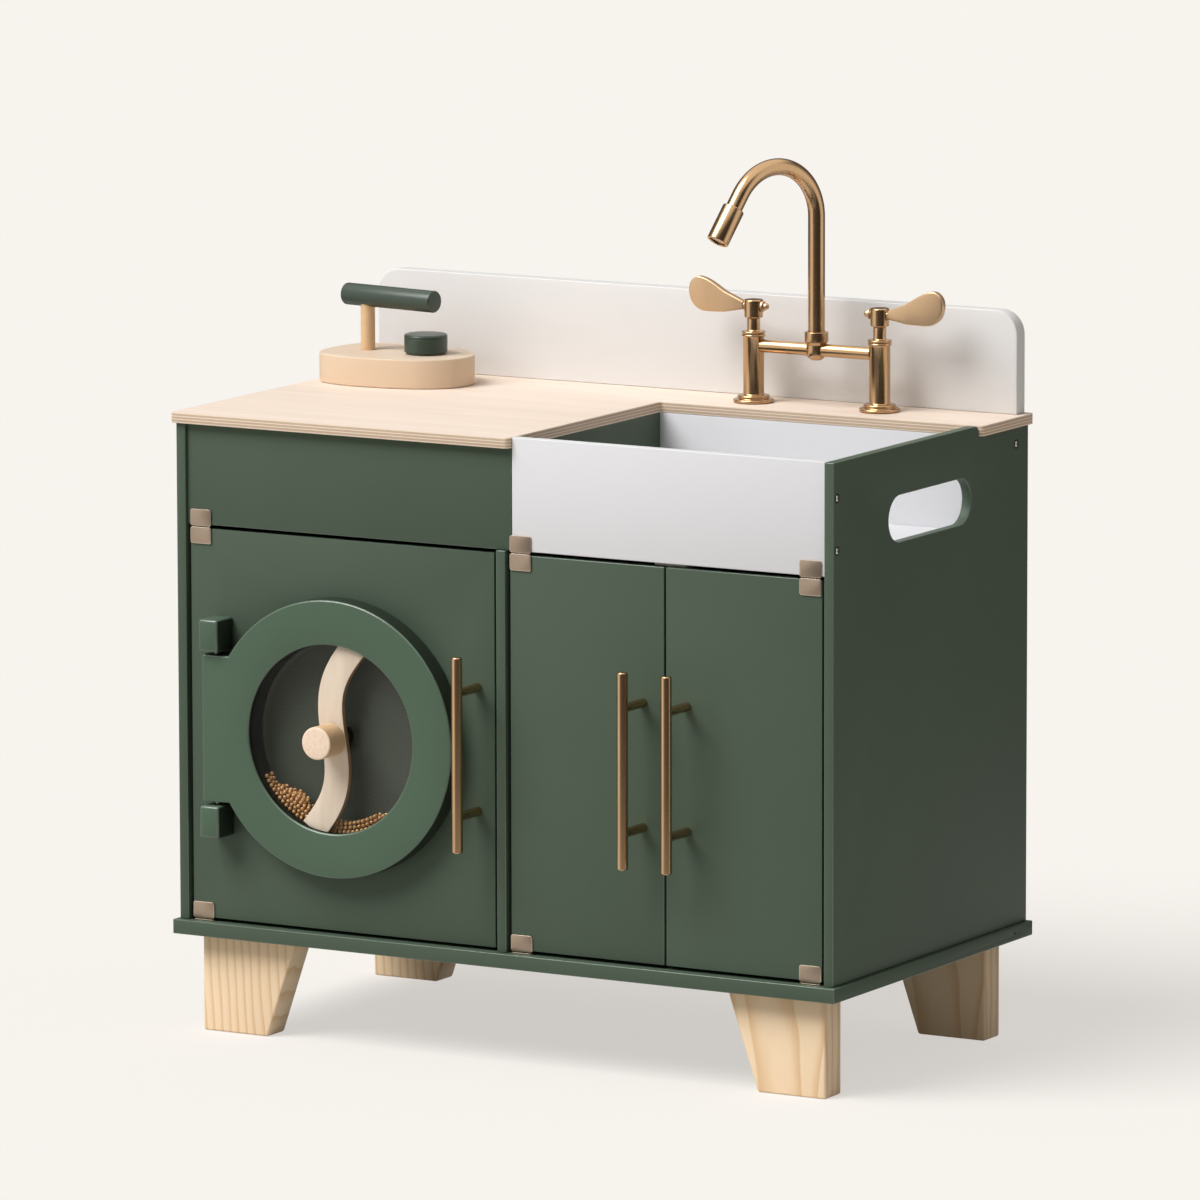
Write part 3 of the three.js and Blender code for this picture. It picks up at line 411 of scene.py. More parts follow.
# Real fibres and end grain are finer than these, which are as coarse as they need to be to
# show.
fibre_length = 30 * mm
fibre_width = 0.8 * mm
end_grain_length = 6 * mm
end_grain_height = 0.6 * mm
figure = grains(tree, surface["Object"], figure_length, figure_width, figure_width,
                detail=4, distortion=0.6)
veneer = set_stops(add_node(tree, "ValToRGB", (figure,)), (
    0.3, linear("#e6d4c4")), (0.62, linear("#eddccd")))
fibres = grains(tree, surface["Object"], fibre_length, fibre_width, fibre_width, detail=3)
face_tone = add_node(tree, "Mix", (0.12, veneer, fibres), data_type="RGBA",
                     blend_type="SOFT_LIGHT")
height = add_node(tree, "SeparateXYZ", (surface["Object"],)).outputs["Z"]
layer = add_node(tree, "MapRange", (height, worktop_low.z, worktop_high.z, 0, plies))
within = add_node(tree, "Math", (layer,), operation="FRACT")
in_pair = add_node(tree, "Math", (layer, 2.0), operation="MODULO")
cross_ply = add_node(tree, "Math", (in_pair, 1.0), operation="GREATER_THAN")
ply_tone = add_node(tree, "Mix", (cross_ply, "#ead7c3", "#cbb299"), data_type="RGBA")
end_grain = grains(tree, surface["Object"], end_grain_length, end_grain_length,
                   end_grain_height, detail=3)
worn_tone = add_node(tree, "Mix", (0.3, ply_tone, end_grain), data_type="RGBA",
                     blend_type="SOFT_LIGHT")
glue_line = add_node(tree, "Math", (within, glue_share), operation="LESS_THAN")
edge_tone = add_node(tree, "Mix", (glue_line, worn_tone, "#ab8d70"), data_type="RGBA")
both_tones = add_node(tree, "Mix", (
    on_faces(tree, surface, "Z", 0.6, 0.85), edge_tone, face_tone), data_type="RGBA")
wood_finish(tree, shader, both_tones, fibres, roughness=0.55)
board_copy("worktop", worktop_edge, birch)


# Screws through the two side boards: nickel-plated button heads with a hexagon socket, each
# drawn in tight on a small cup washer, whose face round the head is painted dark as shadow.
def extrude(way):
    """Extrudes what is selected in edit mode."""
    bpy.ops.mesh.extrude_region_move(TRANSFORM_OT_translate={"value": way})


def traced(name, points):
    """A line through points, made by extruding one corner from place to place."""
    bpy.ops.object.select_all(action="DESELECT")
    bpy.ops.mesh.primitive_plane_add(size=mm, location=(0, 0, 0))
    piece = bpy.context.object
    piece.name = name
    bpy.ops.object.mode_set(mode="EDIT")
    bpy.ops.mesh.select_mode(type="VERT")
    bpy.ops.mesh.merge(type="CENTER")
    bpy.ops.transform.translate(value=points[0])
    for here, there in zip(points, points[1:]):
        extrude(Vector(there) - Vector(here))
    return piece


def moved(piece, place, turn=Matrix()):
    """Turns a piece about the origin and moves it to its place, all in its mesh."""
    piece.matrix_world = Matrix.Translation(place) @ turn.to_4x4()
    select_only(piece)
    bpy.ops.object.transform_apply(location=True, rotation=True, scale=True)
    return piece


def closed_up():
    """Merges doubled corners in edit mode, turns all faces outwards and ends the edit."""
    bpy.ops.mesh.select_all(action="SELECT")
    bpy.ops.mesh.remove_doubles(threshold=0.005 * mm)
    bpy.ops.mesh.normals_make_consistent(inside=False)
    bpy.ops.object.mode_set(mode="OBJECT")


def turned(name, profile, centre, axis=(0, 0, 1), steps=48):
    """Spins a half outline of (radius, height) corners about an axis through a centre."""
    piece = traced(name, [(radius, 0, height) for radius, height in profile])
    bpy.ops.mesh.select_all(action="SELECT")
    bpy.ops.mesh.spin(steps=steps, angle=2 * math.pi, center=(0, 0, 0), axis=(0, 0, 1))
    closed_up()
    moved(piece, Vector(centre), Vector(axis).to_track_quat("Z", "Y").to_matrix())
    smoothed(40)
    return piece


def combined(piece, tool, operation):
    """Joins a second solid to a piece, or cuts it away, and drops that second solid."""
    modified(piece, "BOOLEAN", operation=operation, object=tool, solver="EXACT")
    bpy.data.objects.remove(tool)
    return piece


def another(piece, name, place, turn=Matrix()):
    """A copy of a piece with its own mesh, turned and moved to its place."""
    copy = piece.copy()
    copy.data = piece.data.copy()
    copy.name = name
    scene.collection.objects.link(copy)
    return moved(copy, place, turn)


def joined(pieces):
    """Joins pieces into the first of them."""
    select_only(pieces[0])
    for piece in pieces:
        piece.select_set(True)
    bpy.ops.object.join()
    return pieces[0]


def painted(piece, slot, chosen):
    """Gives the faces that pass a test the material in one of the piece's slots."""
    for face in piece.data.polygons:
        if chosen(face):
            face.material_index = slot


def brushed_metal(name, colour, patina, roughness, brushing):
    """Brushed plate: an even metal with scratches one way and a faint darker patina. Real
    scratches are some ten times finer, and these are as coarse as they need to be to show."""
    patina_size = 30 * mm
    return even_surface(name, colour, patina, patina_size, brushing, roughness, 0.03,
                        (0.04, 0.02 * mm), {"Metallic": 1.0})


washer_radius = 4 * mm
screw_radius = 2.6 * mm
screw_rise = 0.8 * mm
screw_sunk = 1.6 * mm
socket_radius = 1.25 * mm
left_side_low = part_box("left_side_panel")[0]
right_side_low, right_side_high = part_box("right_side_panel")
steel_scratches = (0.4 * mm, 0.4 * mm, 6 * mm)
nickel = brushed_metal("nickel-plated steel", "#c9c7c2", "#b5b2ac", 0.24, steel_scratches)
screw_shadow_ring = brushed_metal("dark steel, painted shadow ring", "#1b1c18", "#151613", 0.4, steel_scratches)
screw = turned("screw_head", [
    (0, -screw_sunk), (washer_radius, -screw_sunk), (washer_radius, 0.1 * mm),
    (screw_radius, 0.1 * mm), (screw_radius, 0.2 * mm), (2.3 * mm, 0.5 * mm),
    (1.8 * mm, 0.7 * mm), (1.2 * mm, screw_rise), (0, screw_rise)], (0, 0, 0), steps=24)
coated(screw, nickel, screw_shadow_ring)
# Painted shadow: the washer's faces round the head take the near-black steel.
painted(screw, 1, lambda face: face.center.xy.length > screw_radius - 0.1 * mm)
bpy.ops.object.select_all(action="DESELECT")
bpy.ops.mesh.primitive_cylinder_add(vertices=6, radius=socket_radius, depth=2 * mm,
                                    location=(0, 0, screw_rise))
combined(screw, bpy.context.object, "DIFFERENCE")
top_screw = Vector((0, right_side_low.y + 6 * mm, right_side_high.z - 30 * mm))
screws_from_top = (Vector(), Vector((0, 0, -44)) * mm, Vector((0, 318, 6)) * mm)
heads = []
for face_x, outwards in ((left_side_low.x, -1), (right_side_high.x, 1)):
    out = Vector((outwards, 0, 0)).to_track_quat("Z", "Y").to_matrix()
    for offset in screws_from_top:
        heads.append(another(screw, "side_screws",
                             top_screw + offset + Vector((face_x, 0, 0)), out))
bpy.data.objects.remove(screw)
side_screws = joined(heads)
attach(side_screws, "cabinet")


# Doors: three painted boards hung on corner pivots. The washer door has a round hole for
# the drum, and two square hinge blocks glued to its face carry the porthole's pin.
door_lacquer = sprayed_lacquer("door satin lacquer", "#4d5b4d", "#495849", 0.48)
for node in ("washer_door_panel", "left_sink_door_panel", "right_sink_door_panel"):
    board_copy(node, board_edge, door_lacquer, edge_highlight_lacquer)
block_edge = 2.2 * mm
ring_lacquer = sprayed_lacquer("porthole satin lacquer", "#506553", "#4c604f", 0.46)
for node in ("porthole_top_block", "porthole_bottom_block"):
    block = board_copy(node, block_edge, ring_lacquer, edge_highlight_lacquer)
    block.data.materials.append(painted_shade_lacquer)
    # Painted shade: the blocks' right faces are drawn near black.
    painted(block, 2, lambda face: face.normal.x > 0.9)


# Door catches: small blocks of moulded nylon, white with the mould's fine grain, and with a
# magnet let into the face that the door meets. One sits behind the washer door's free edge
# and one above the middle of the sink doors.
def block_at(name, low, high):
    """A block between its lowest and highest corner, ready to be shaped."""
    low, high = Vector(low), Vector(high)
    bpy.ops.object.select_all(action="DESELECT")
    bpy.ops.mesh.primitive_cube_add(size=1, location=(low + high) / 2, scale=high - low)
    piece = bpy.context.object
    piece.name = name
    bpy.ops.object.transform_apply(location=True, rotation=True, scale=True)
    return piece


def open_with(piece, kind, parts, chosen):
    """Opens a piece for editing, with those of its faces or edges that pass a test selected."""
    select_only(piece)
    bpy.ops.object.mode_set(mode="EDIT")
    bpy.ops.mesh.select_mode(type=kind)
    bpy.ops.mesh.select_all(action="DESELECT")
    bpy.ops.object.mode_set(mode="OBJECT")
    for part in parts:
        part.select = chosen(part)
    bpy.ops.object.mode_set(mode="EDIT")


nylon_clouding = 25 * mm
# The mould's own grain is finer than this, which is drawn coarse enough to show.
mould_grain = 1.5 * mm
catch_nylon = even_surface("moulded white nylon", "#e9e6e0", "#e2ded7", nylon_clouding,
                           (mould_grain,), 0.45, 0, (0.1, 0.05 * mm), {}, detail=2)
magnet_margin = 3 * mm
magnet_sunk = 0.8 * mm
catch_edge = 0.7 * mm
for node in ("washer_door_catch", "sink_door_catch"):
    catch = block_at(node + "_finished", *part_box(node))
    open_with(catch, "FACE", catch.data.polygons, lambda face: face.normal.y < -0.9)
    bpy.ops.mesh.inset(thickness=magnet_margin)
    extrude((0, magnet_sunk, 0))
    bpy.ops.object.mode_set(mode="OBJECT")
    settled(eased(catch, catch_edge), catch_nylon, node)


# Door pivots: clips folded from plated sheet and slipped over a board's edge, two on each
# door. The top one turns on the pin of a third clip, on the fascia or the apron, and the
# bottom one on the pin of a flat leaf on the base board.
hinge_inset = 6 * mm
clip_width = 21 * mm
clip_height = 14.5 * mm
clip_sheet = 1 * mm
clip_gap = 0.2 * mm
clip_corner = 2.2 * mm
clip_edge = 0.5 * mm
pin_radius = 1.5 * mm
pin_hole_radius = 1.9 * mm
pin_top = 10.2 * mm
pin_chamfer = 0.4 * mm
board_low, board_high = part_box("washer_fascia")
inner_half = (board_high.y - board_low.y) / 2 + clip_gap
outer_half = inner_half + clip_sheet
crown = clip_gap + clip_sheet


def rounded_corners(piece, axis, size, chosen=lambda edge_middle: True):
    """Rounds the edges of a block that run along an axis, by a bevel of four segments."""
    def along_axis(edge):
        ends = [piece.data.vertices[end].co for end in edge.vertices]
        run = ends[1] - ends[0]
        return abs(run[axis]) > 0.99 * run.length and chosen((ends[0] + ends[1]) / 2)

    open_with(piece, "EDGE", piece.data.edges, along_axis)
    bpy.ops.mesh.bevel(offset=size, segments=4)
    bpy.ops.object.mode_set(mode="OBJECT")
    return piece


def rod(name, radius, start, end, centre=(0, 0, 0), axis=(0, 0, 1), chamfer=0, steps=24):
    """A round rod along an axis, from start to end of its centre, with chamfered ends."""
    rim = [(radius - chamfer, start), (radius, start + chamfer),
           (radius, end - chamfer), (radius - chamfer, end)]
    return turned(name, [(0, start)] + (rim if chamfer else rim[::2]) + [(0, end)],
                  centre, axis, steps)


def bored(piece, *size_and_place, **turning):
    """Bores a round hole, given as a rod is."""
    return combined(piece, rod("bore", *size_and_place, **turning), "DIFFERENCE")


clip_scratches = (0.5 * mm, 0.5 * mm, 8 * mm)
clip_plate = brushed_metal("champagne-plated steel sheet", "#a89786", "#9c8b7a", 0.36,
                           clip_scratches)
# Much paler plating on the clips' eased edges: a painted highlight.
clip_edge_highlight = brushed_metal("champagne plating, painted edge highlight", "#e6d6c4", "#dccbb8", 0.25,
                         clip_scratches)
clip_left = -hinge_inset
clip_right = clip_width - hinge_inset
shell = block_at("clip_shell", (clip_left, -outer_half, crown - clip_height),
                 (clip_right, outer_half, crown))
rounded_corners(shell, 1, clip_corner)
board_slot = block_at("board_slot", (-clip_width, -inner_half, -clip_height),
                      (2 * clip_width, inner_half, clip_gap))
combined(shell, board_slot, "DIFFERENCE")
pinned_shell = another(shell, "pinned_shell", Vector())
bored(shell, pin_hole_radius, -clip_sheet, 3 * clip_sheet)
leaf = block_at("pivot_leaf", (clip_left, -outer_half, clip_gap),
                (clip_right, outer_half, crown))
rounded_corners(leaf, 2, clip_corner)
for form in (pinned_shell, leaf):
    pin = rod("pivot_pin", pin_radius, crown - clip_sheet / 2, pin_top, chamfer=pin_chamfer)
    combined(form, pin, "UNION")
for form in (shell, pinned_shell, leaf):
    eased(coated(form, clip_plate, clip_edge_highlight), clip_edge, segments=2, highlight_coat=clip_edge_highlight)

upside_down = Matrix.Rotation(math.pi, 3, "X")
end_for_end = Matrix.Rotation(math.pi, 3, "Z")
base_top_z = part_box("base_board")[1].z
for door, right_handed in (("washer_door", False), ("left_sink_door", False),
                           ("right_sink_door", True)):
    door_low, door_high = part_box(door + "_panel")
    pivot_x = door_high.x - hinge_inset if right_handed else door_low.x + hinge_inset
    pivot_y = (door_low.y + door_high.y) / 2
    hand = end_for_end if right_handed else Matrix.Identity(3)
    for form, part, level, turn in (
            (shell, "top_clip", door_high.z, hand),
            (shell, "bottom_clip", door_low.z, hand @ upside_down),
            (pinned_shell, "top_pivot_clip", board_low.z, hand @ upside_down),
            (leaf, "base_pivot_leaf", base_top_z, hand)):
        node = door + "_" + part
        settled(another(form, node + "_finished", Vector((pivot_x, pivot_y, level)), turn),
                None, node)
for form in (shell, pinned_shell, leaf):
    bpy.data.objects.remove(form)


# Bar handles: a round brass bar brazed to two round posts that are screwed from behind the
# door. The bar's ends are chamfered, and it is brushed and tinted an antique brown.
bar_radius = 4.75 * mm
bar_half = 83.5 * mm
bar_chamfer = 0.8 * mm
bar_standoff = 35 * mm
post_foot_radius = 4 * mm
post_chamfer = 0.4 * mm
post_rise = 53 * mm
door_gap = 0.2 * mm
brass_scratches = (0.5 * mm, 0.5 * mm, 7 * mm)
antique_brass = brushed_metal("brushed antique brass", "#c8a680", "#ba9871", 0.21,
                              brass_scratches)
bar_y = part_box("washer_door_panel")[0].y - bar_standoff
for node in ("washer_door_handle", "left_sink_door_handle", "right_sink_door_handle"):
    bar_centre = middle_of(node)
    bar_centre.y = bar_y
    bar = rod(node + "_finished", bar_radius, -bar_half, bar_half, bar_centre,
              chamfer=bar_chamfer, steps=40)
    for rise in (-post_rise, post_rise):
        post = rod("handle_post", post_foot_radius, 0, bar_standoff - door_gap,
                   bar_centre + Vector((0, 0, rise)), (0, 1, 0), post_chamfer, 32)
        combined(bar, post, "UNION")
    smoothed(35)
    settled(bar, antique_brass, node)


# Porthole: a ring cut from 20 mm board with its hinge tab in one piece, all its front edges
# rounded over and sprayed. It swings on a steel pin that the two blocks hold.
def arc(centre_r, centre_h, radius, start, end, steps=5):
    """Corners of a rounding in a turned outline, between two angles in degrees."""
    turns = [math.radians(start + (end - start) * step / steps) for step in range(steps + 1)]
    return [(centre_r + radius * math.cos(turn), centre_h + radius * math.sin(turn))
            for turn in turns]


ring_low, ring_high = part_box("porthole_ring")
ring_middle = middle_of("stirring_spindle")
ring_middle.y = ring_low.y
ring_outer = ring_high.x - ring_middle.x
ring_window = 81.2 * mm
ring_depth = 20 * mm
ring_round = 2 * mm
ring_lip = 3 * mm
ring_back_chamfer = 0.8 * mm
ring_rebate = 86 * mm
flange_rebate = 92.4 * mm
flange_rebate_from = 17.6 * mm
tab_half = 63.5 * mm
tab_front_round = 3 * mm
tab_back_round = 9 * mm
tab_bore_radius = 2.8 * mm
tab_root_x = ring_middle.x - 99.05 * mm
ring = turned("porthole_ring_finished",
              arc(ring_window + ring_round, ring_round, ring_round, 180, 270)
              + arc(ring_outer - ring_round, ring_round, ring_round, -90, 0)
              + [(ring_outer, ring_depth - ring_back_chamfer),
                 (ring_outer - ring_back_chamfer, ring_depth),
                 (flange_rebate, ring_depth), (flange_rebate, flange_rebate_from),
                 (ring_rebate, flange_rebate_from), (ring_rebate, ring_lip),
                 (ring_window, ring_lip), (ring_window, ring_round)],
              ring_middle, axis=(0, 1, 0), steps=160)
tab = block_at("hinge_tab", (ring_low.x, ring_low.y, ring_middle.z - tab_half),
               (tab_root_x, ring_low.y + ring_depth, ring_middle.z + tab_half))
tab_middle_y = ring_low.y + ring_depth / 2
rounded_corners(tab, 2, tab_back_round,
                lambda place: place.x < tab_root_x - mm and place.y > tab_middle_y)
rounded_corners(tab, 2, tab_front_round,
                lambda place: place.x < ring_low.x + mm and place.y < tab_middle_y)
rounded_corners(tab, 0, ring_round, lambda place: place.y < tab_middle_y)
combined(ring, tab, "UNION")
pin_centre = middle_of("porthole_pin")
bored(ring, tab_bore_radius, -tab_half - mm, tab_half + mm, pin_centre)
smoothed(30)
ring_edge_highlight = sprayed_lacquer("porthole lacquer, painted edge highlight", "#5a6f5e", "#566b5a", 0.26,
                              0.6)
# Painted highlight in paler green on the front roundings, and painted shade in near-black green
# on the inner and outer walls.
coated(ring, ring_lacquer, ring_edge_highlight, painted_shade_lacquer)
painted(ring, 1, lambda face: -0.97 < face.normal.y < -0.25)
painted(ring, 2, lambda face: abs(face.normal.y) <= 0.25)
settled(ring, None, "porthole_ring")

pin_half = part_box("porthole_pin")[1].z - pin_centre.z
hinge_pin = rod("porthole_pin_finished", 2.5 * mm, -pin_half, pin_half, pin_centre,
                chamfer=pin_chamfer)
settled(hinge_pin, nickel, "porthole_pin")


# Drum: a cup of dark vacuum-formed plastic with a flange glued into the ring's rebate and a
# boss for the spindle. Its wall is painted nearly black and its back darker to the left, as
# painted shade from the ring. A window of clear acrylic sheet closes it in front.
cup_outer = 85.6 * mm
cup_wall = 2.2 * mm
cup_mouth = 5.4 * mm
cup_back = 29 * mm
cup_flange_outer = 92 * mm
cup_flange = (17.8 * mm, 19.8 * mm)
boss_radius = 8 * mm
boss_rise = 7 * mm
boss_edge = 0.8 * mm
boss_fillet = 2 * mm
spindle_bore = 3.3 * mm
floor_round = 5 * mm
cup_inside = cup_back - cup_wall
cup_inner = cup_outer - cup_wall
boss_top = cup_inside - boss_rise
cup = turned("drum_cup_finished",
             [(0, cup_inside), (spindle_bore, cup_inside), (spindle_bore, boss_top)]
             + arc(boss_radius - boss_edge, boss_top + boss_edge, boss_edge, -90, 0, 3)
             + arc(boss_radius + boss_fillet, cup_inside - boss_fillet, boss_fillet, 180, 90, 3)
             + arc(cup_inner - floor_round, cup_inside - floor_round, floor_round, 90, 0)
             + [(cup_inner, cup_mouth), (cup_outer, cup_mouth), (cup_outer, cup_flange[0]),
                (cup_flange_outer, cup_flange[0]), (cup_flange_outer, cup_flange[1]),
                (cup_outer, cup_flange[1])]
             + arc(cup_outer - floor_round, cup_back - floor_round, floor_round, 0, 90)
             + [(0, cup_back)],
             ring_middle, axis=(0, 1, 0), steps=128)
drum_plastic, tree, shader, surface = start_material("vacuum-formed dark plastic")
# The plastic's own grain is finer than this, which is drawn coarse enough to show.
drum_grain = 1.2 * mm
place_x = add_node(tree, "SeparateXYZ", (surface["Object"],)).outputs["X"]
# Painted shade: the back greys from darker on the left, where the ring shades it, and the wall
# is nearly black.
across = add_node(tree, "MapRange", (
    place_x, ring_middle.x - cup_inner, ring_middle.x + cup_inner))
back_painted_shade = add_node(tree, "Mix", (across, "#40463b", "#4b4f47"), data_type="RGBA")
drum_tone_and_painted_shade = add_node(tree, "Mix", (
    on_faces(tree, surface, "Y", 0.5, 0.8), "#12140d", back_painted_shade), data_type="RGBA")
bump = add_node(tree, "Bump", {"Height": grains(tree, surface["Object"], drum_grain),
                               "Strength": 0.1, "Distance": 0.05 * mm})
add_node(tree, shader, {"Base Color": drum_tone_and_painted_shade, "Normal": bump, "Roughness": 0.5,
                        "Specular IOR Level": 0.25})
settled(cup, drum_plastic, "drum_cup")

# Clear cast sheet lets light straight through and mirrors a little more aslant.
window_faces = (3.2 * mm, 5.2 * mm)
window = turned("drum_window_finished", [
    (spindle_bore, window_faces[0]), (cup_outer, window_faces[0]), (cup_outer, window_faces[1]),
    (spindle_bore, window_faces[1]), (spindle_bore, window_faces[0])],
    ring_middle, axis=(0, 1, 0), steps=128)
acrylic, tree, shader, surface = start_material("clear cast acrylic")
dust_size = 30 * mm
mirroring_index = 1.2
dust = grains(tree, surface["Object"], dust_size, detail=3)
dulled = add_node(tree, "Mix", (dust, "#fdfefd", "#fafbfa"), data_type="RGBA")
passing = add_node(tree, "BsdfTransparent", (dulled,))
aslant = add_node(tree, "Fresnel", (mirroring_index,))
inside = add_node(tree, "NewGeometry").outputs["Backfacing"]
outside = add_node(tree, "Math", (1.0, inside), operation="SUBTRACT")
mirrored_part = add_node(tree, "Math", (aslant, outside), operation="MULTIPLY")
add_node(tree, shader, {"Base Color": "#ffffff", "Metallic": 1.0, "Roughness": 0.03})
sheet = add_node(tree, "MixShader", (mirrored_part, passing, shader))
add_node(tree, tree.nodes["Material Output"], (sheet,))
settled(window, acrylic, "drum_window")


# Stirring blade: an S sawn from 5 mm plywood and sanded, pinned with the turned knob in
# front to one steel spindle, which runs through the window into the cup's boss.
def plate(name, corners, thickness):
    """A flat plate: a closed outline filled, then extruded by its thickness."""
    piece = traced(name, list(corners) + [corners[0]])
    bpy.ops.mesh.select_all(action="SELECT")
    bpy.ops.mesh.remove_doubles(threshold=0.005 * mm)
    bpy.ops.mesh.edge_face_add()
    extrude(thickness)
    closed_up()
    return piece


def sanded_wood(name, pale, dark, edge, face_axis, grain):
    """Pale close-grained wood, browner on its sawn edges, with fibres coarse enough to show."""
    material, tree, shader, surface = start_material(name)
    fibres = grains(tree, surface["Object"], *grain, detail=4, distortion=0.3)
    figure = set_stops(add_node(tree, "ValToRGB", (fibres,)), (
        0.3, linear(dark)), (0.6, linear(pale)))
    browned = add_node(tree, "Mix", (
        on_faces(tree, surface, face_axis, 0.25, 0.6), edge, figure), data_type="RGBA")
    wood_finish(tree, shader, browned, fibres)
    return material


blade_faces = (6 * mm, 11 * mm)
blade_reach = 81.5 * mm
blade_half_length = blade_reach + 2 * mm
blade_half_width = 12 * mm
blade_sway = 12 * mm
blade_tilt = math.radians(14.6)
blade_steps = 64
spindle_fit = 3.2 * mm
right_rim, left_rim = [], []
for step in range(blade_steps + 1):
    share = 2 * step / blade_steps - 1
    middle = Vector((-blade_sway * math.sin(math.pi * share), blade_faces[0],
                     blade_half_length * share))
    slope = blade_sway * math.pi * math.cos(math.pi * share) / blade_half_length
    across = Vector((1, 0, slope)).normalized() * blade_half_width
    right_rim.append(middle + across)
    left_rim.append(middle - across)
blade = plate("stirring_blade_finished", right_rim + left_rim[::-1],
              (0, blade_faces[1] - blade_faces[0], 0))
moved(blade, ring_middle, Matrix.Rotation(blade_tilt, 3, "Y"))
disc = rod("blade_disc", blade_reach, 0, cup_back, ring_middle, (0, 1, 0), steps=128)
combined(blade, disc, "INTERSECT")
bored(blade, spindle_fit, 0, cup_back, ring_middle, (0, 1, 0))
blade_grain = (5 * mm, 5 * mm, 60 * mm)
blade_ply = sanded_wood("sanded birch plywood", "#f3dfce", "#edd6c3", "#a97f54", "Y",
                        blade_grain)
settled(eased(blade, 0.5 * mm, sharper_than=50), blade_ply, "stirring_blade")

knob_radius = 14.15 * mm
knob_round = 1.5 * mm
knob_front = -22.49 * mm
knob_back = 2.5 * mm
knob_chamfer = 0.5 * mm
knob_bore_end = -13.7 * mm
knob = turned("stirring_knob_finished",
              [(0, knob_front)]
              + arc(knob_radius - knob_round, knob_front + knob_round, knob_round, -90, 0)
              + [(knob_radius, knob_back - knob_chamfer),
                 (knob_radius - knob_chamfer, knob_back), (spindle_fit, knob_back),
                 (spindle_fit, knob_bore_end), (0, knob_bore_end)],
              ring_middle, axis=(0, 1, 0), steps=64)
knob_grain = (3 * mm, 30 * mm, 3 * mm)
turned_beech = sanded_wood("turned and sanded beech", "#f5dec8", "#ecd2b8", "#dcb890", "Y",
                           knob_grain)
settled(knob, turned_beech, "stirring_knob")

spindle_middle = middle_of("stirring_spindle")
spindle_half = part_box("stirring_spindle")[1].y - spindle_middle.y
spindle = rod("stirring_spindle_finished", 3 * mm, -spindle_half, spindle_half,
              spindle_middle, (0, 1, 0), pin_chamfer, 32)
settled(spindle, nickel, "stirring_spindle")


# Beads: some hundreds of glossy golden-brown plastic beads, each of its own tone, lie loose
# in the drum, in a deeper drift left of the blade and a thin row up the wall on its right.
random.seed(11)
bead_radius = 1.8 * mm
bead_pitch = 4.3 * mm
bead_first_row = 13.8 * mm
bead_rows = 3
bead_tone_size = 4 * mm
drifts = ((0, 208, 312), (1, 217, 309), (2, 220, 252), (2, 264, 301), (3, 224, 247),
          (4, 229, 241))
bpy.ops.object.select_all(action="DESELECT")
bpy.ops.mesh.primitive_uv_sphere_add(segments=8, ring_count=6, radius=bead_radius)
bead = bpy.context.object
beads = []
for layer, from_degrees, to_degrees in drifts:
    lie = cup_inner - bead_radius - 0.2 * mm - layer * 0.85 * bead_pitch
    step_degrees = math.degrees(bead_pitch / lie)
    for row in range(bead_rows):
        depth = bead_first_row + (row + 0.1 * (layer % 2)) * bead_pitch
        degrees = from_degrees + step_degrees * (
            0.5 * ((row + layer) % 2) + 0.5 * random.random())
        while degrees < to_degrees - 1.5 * random.random():
            angle = math.radians(degrees)
            copy = bead.copy()
            copy.data = bead.data.copy()
            copy.location = ring_middle + Vector((
                lie * math.cos(angle), depth + 0.25 * mm * random.uniform(-1, 1),
                lie * math.sin(angle) + 0.15 * mm * random.uniform(-1, 1)))
            scene.collection.objects.link(copy)
            beads.append(copy)
            degrees += step_degrees * random.uniform(1.0, 1.06)
bpy.data.objects.remove(bead)
heap = joined(beads)
heap.name = "bead_heap_finished"
bpy.ops.object.transform_apply(location=True, rotation=True, scale=True)
bpy.ops.object.shade_smooth()
golden, tree, shader, surface = start_material("glossy golden plastic")
tone = grains(tree, surface["Object"], bead_tone_size, detail=1)
tint = add_node(tree, "Mix", (tone, "#e2ac72", "#c08a4f"), data_type="RGBA")
add_node(tree, shader, {"Base Color": tint, "Roughness": 0.2, "Coat Weight": 0.5})
settled(heap, golden, "bead_heap")


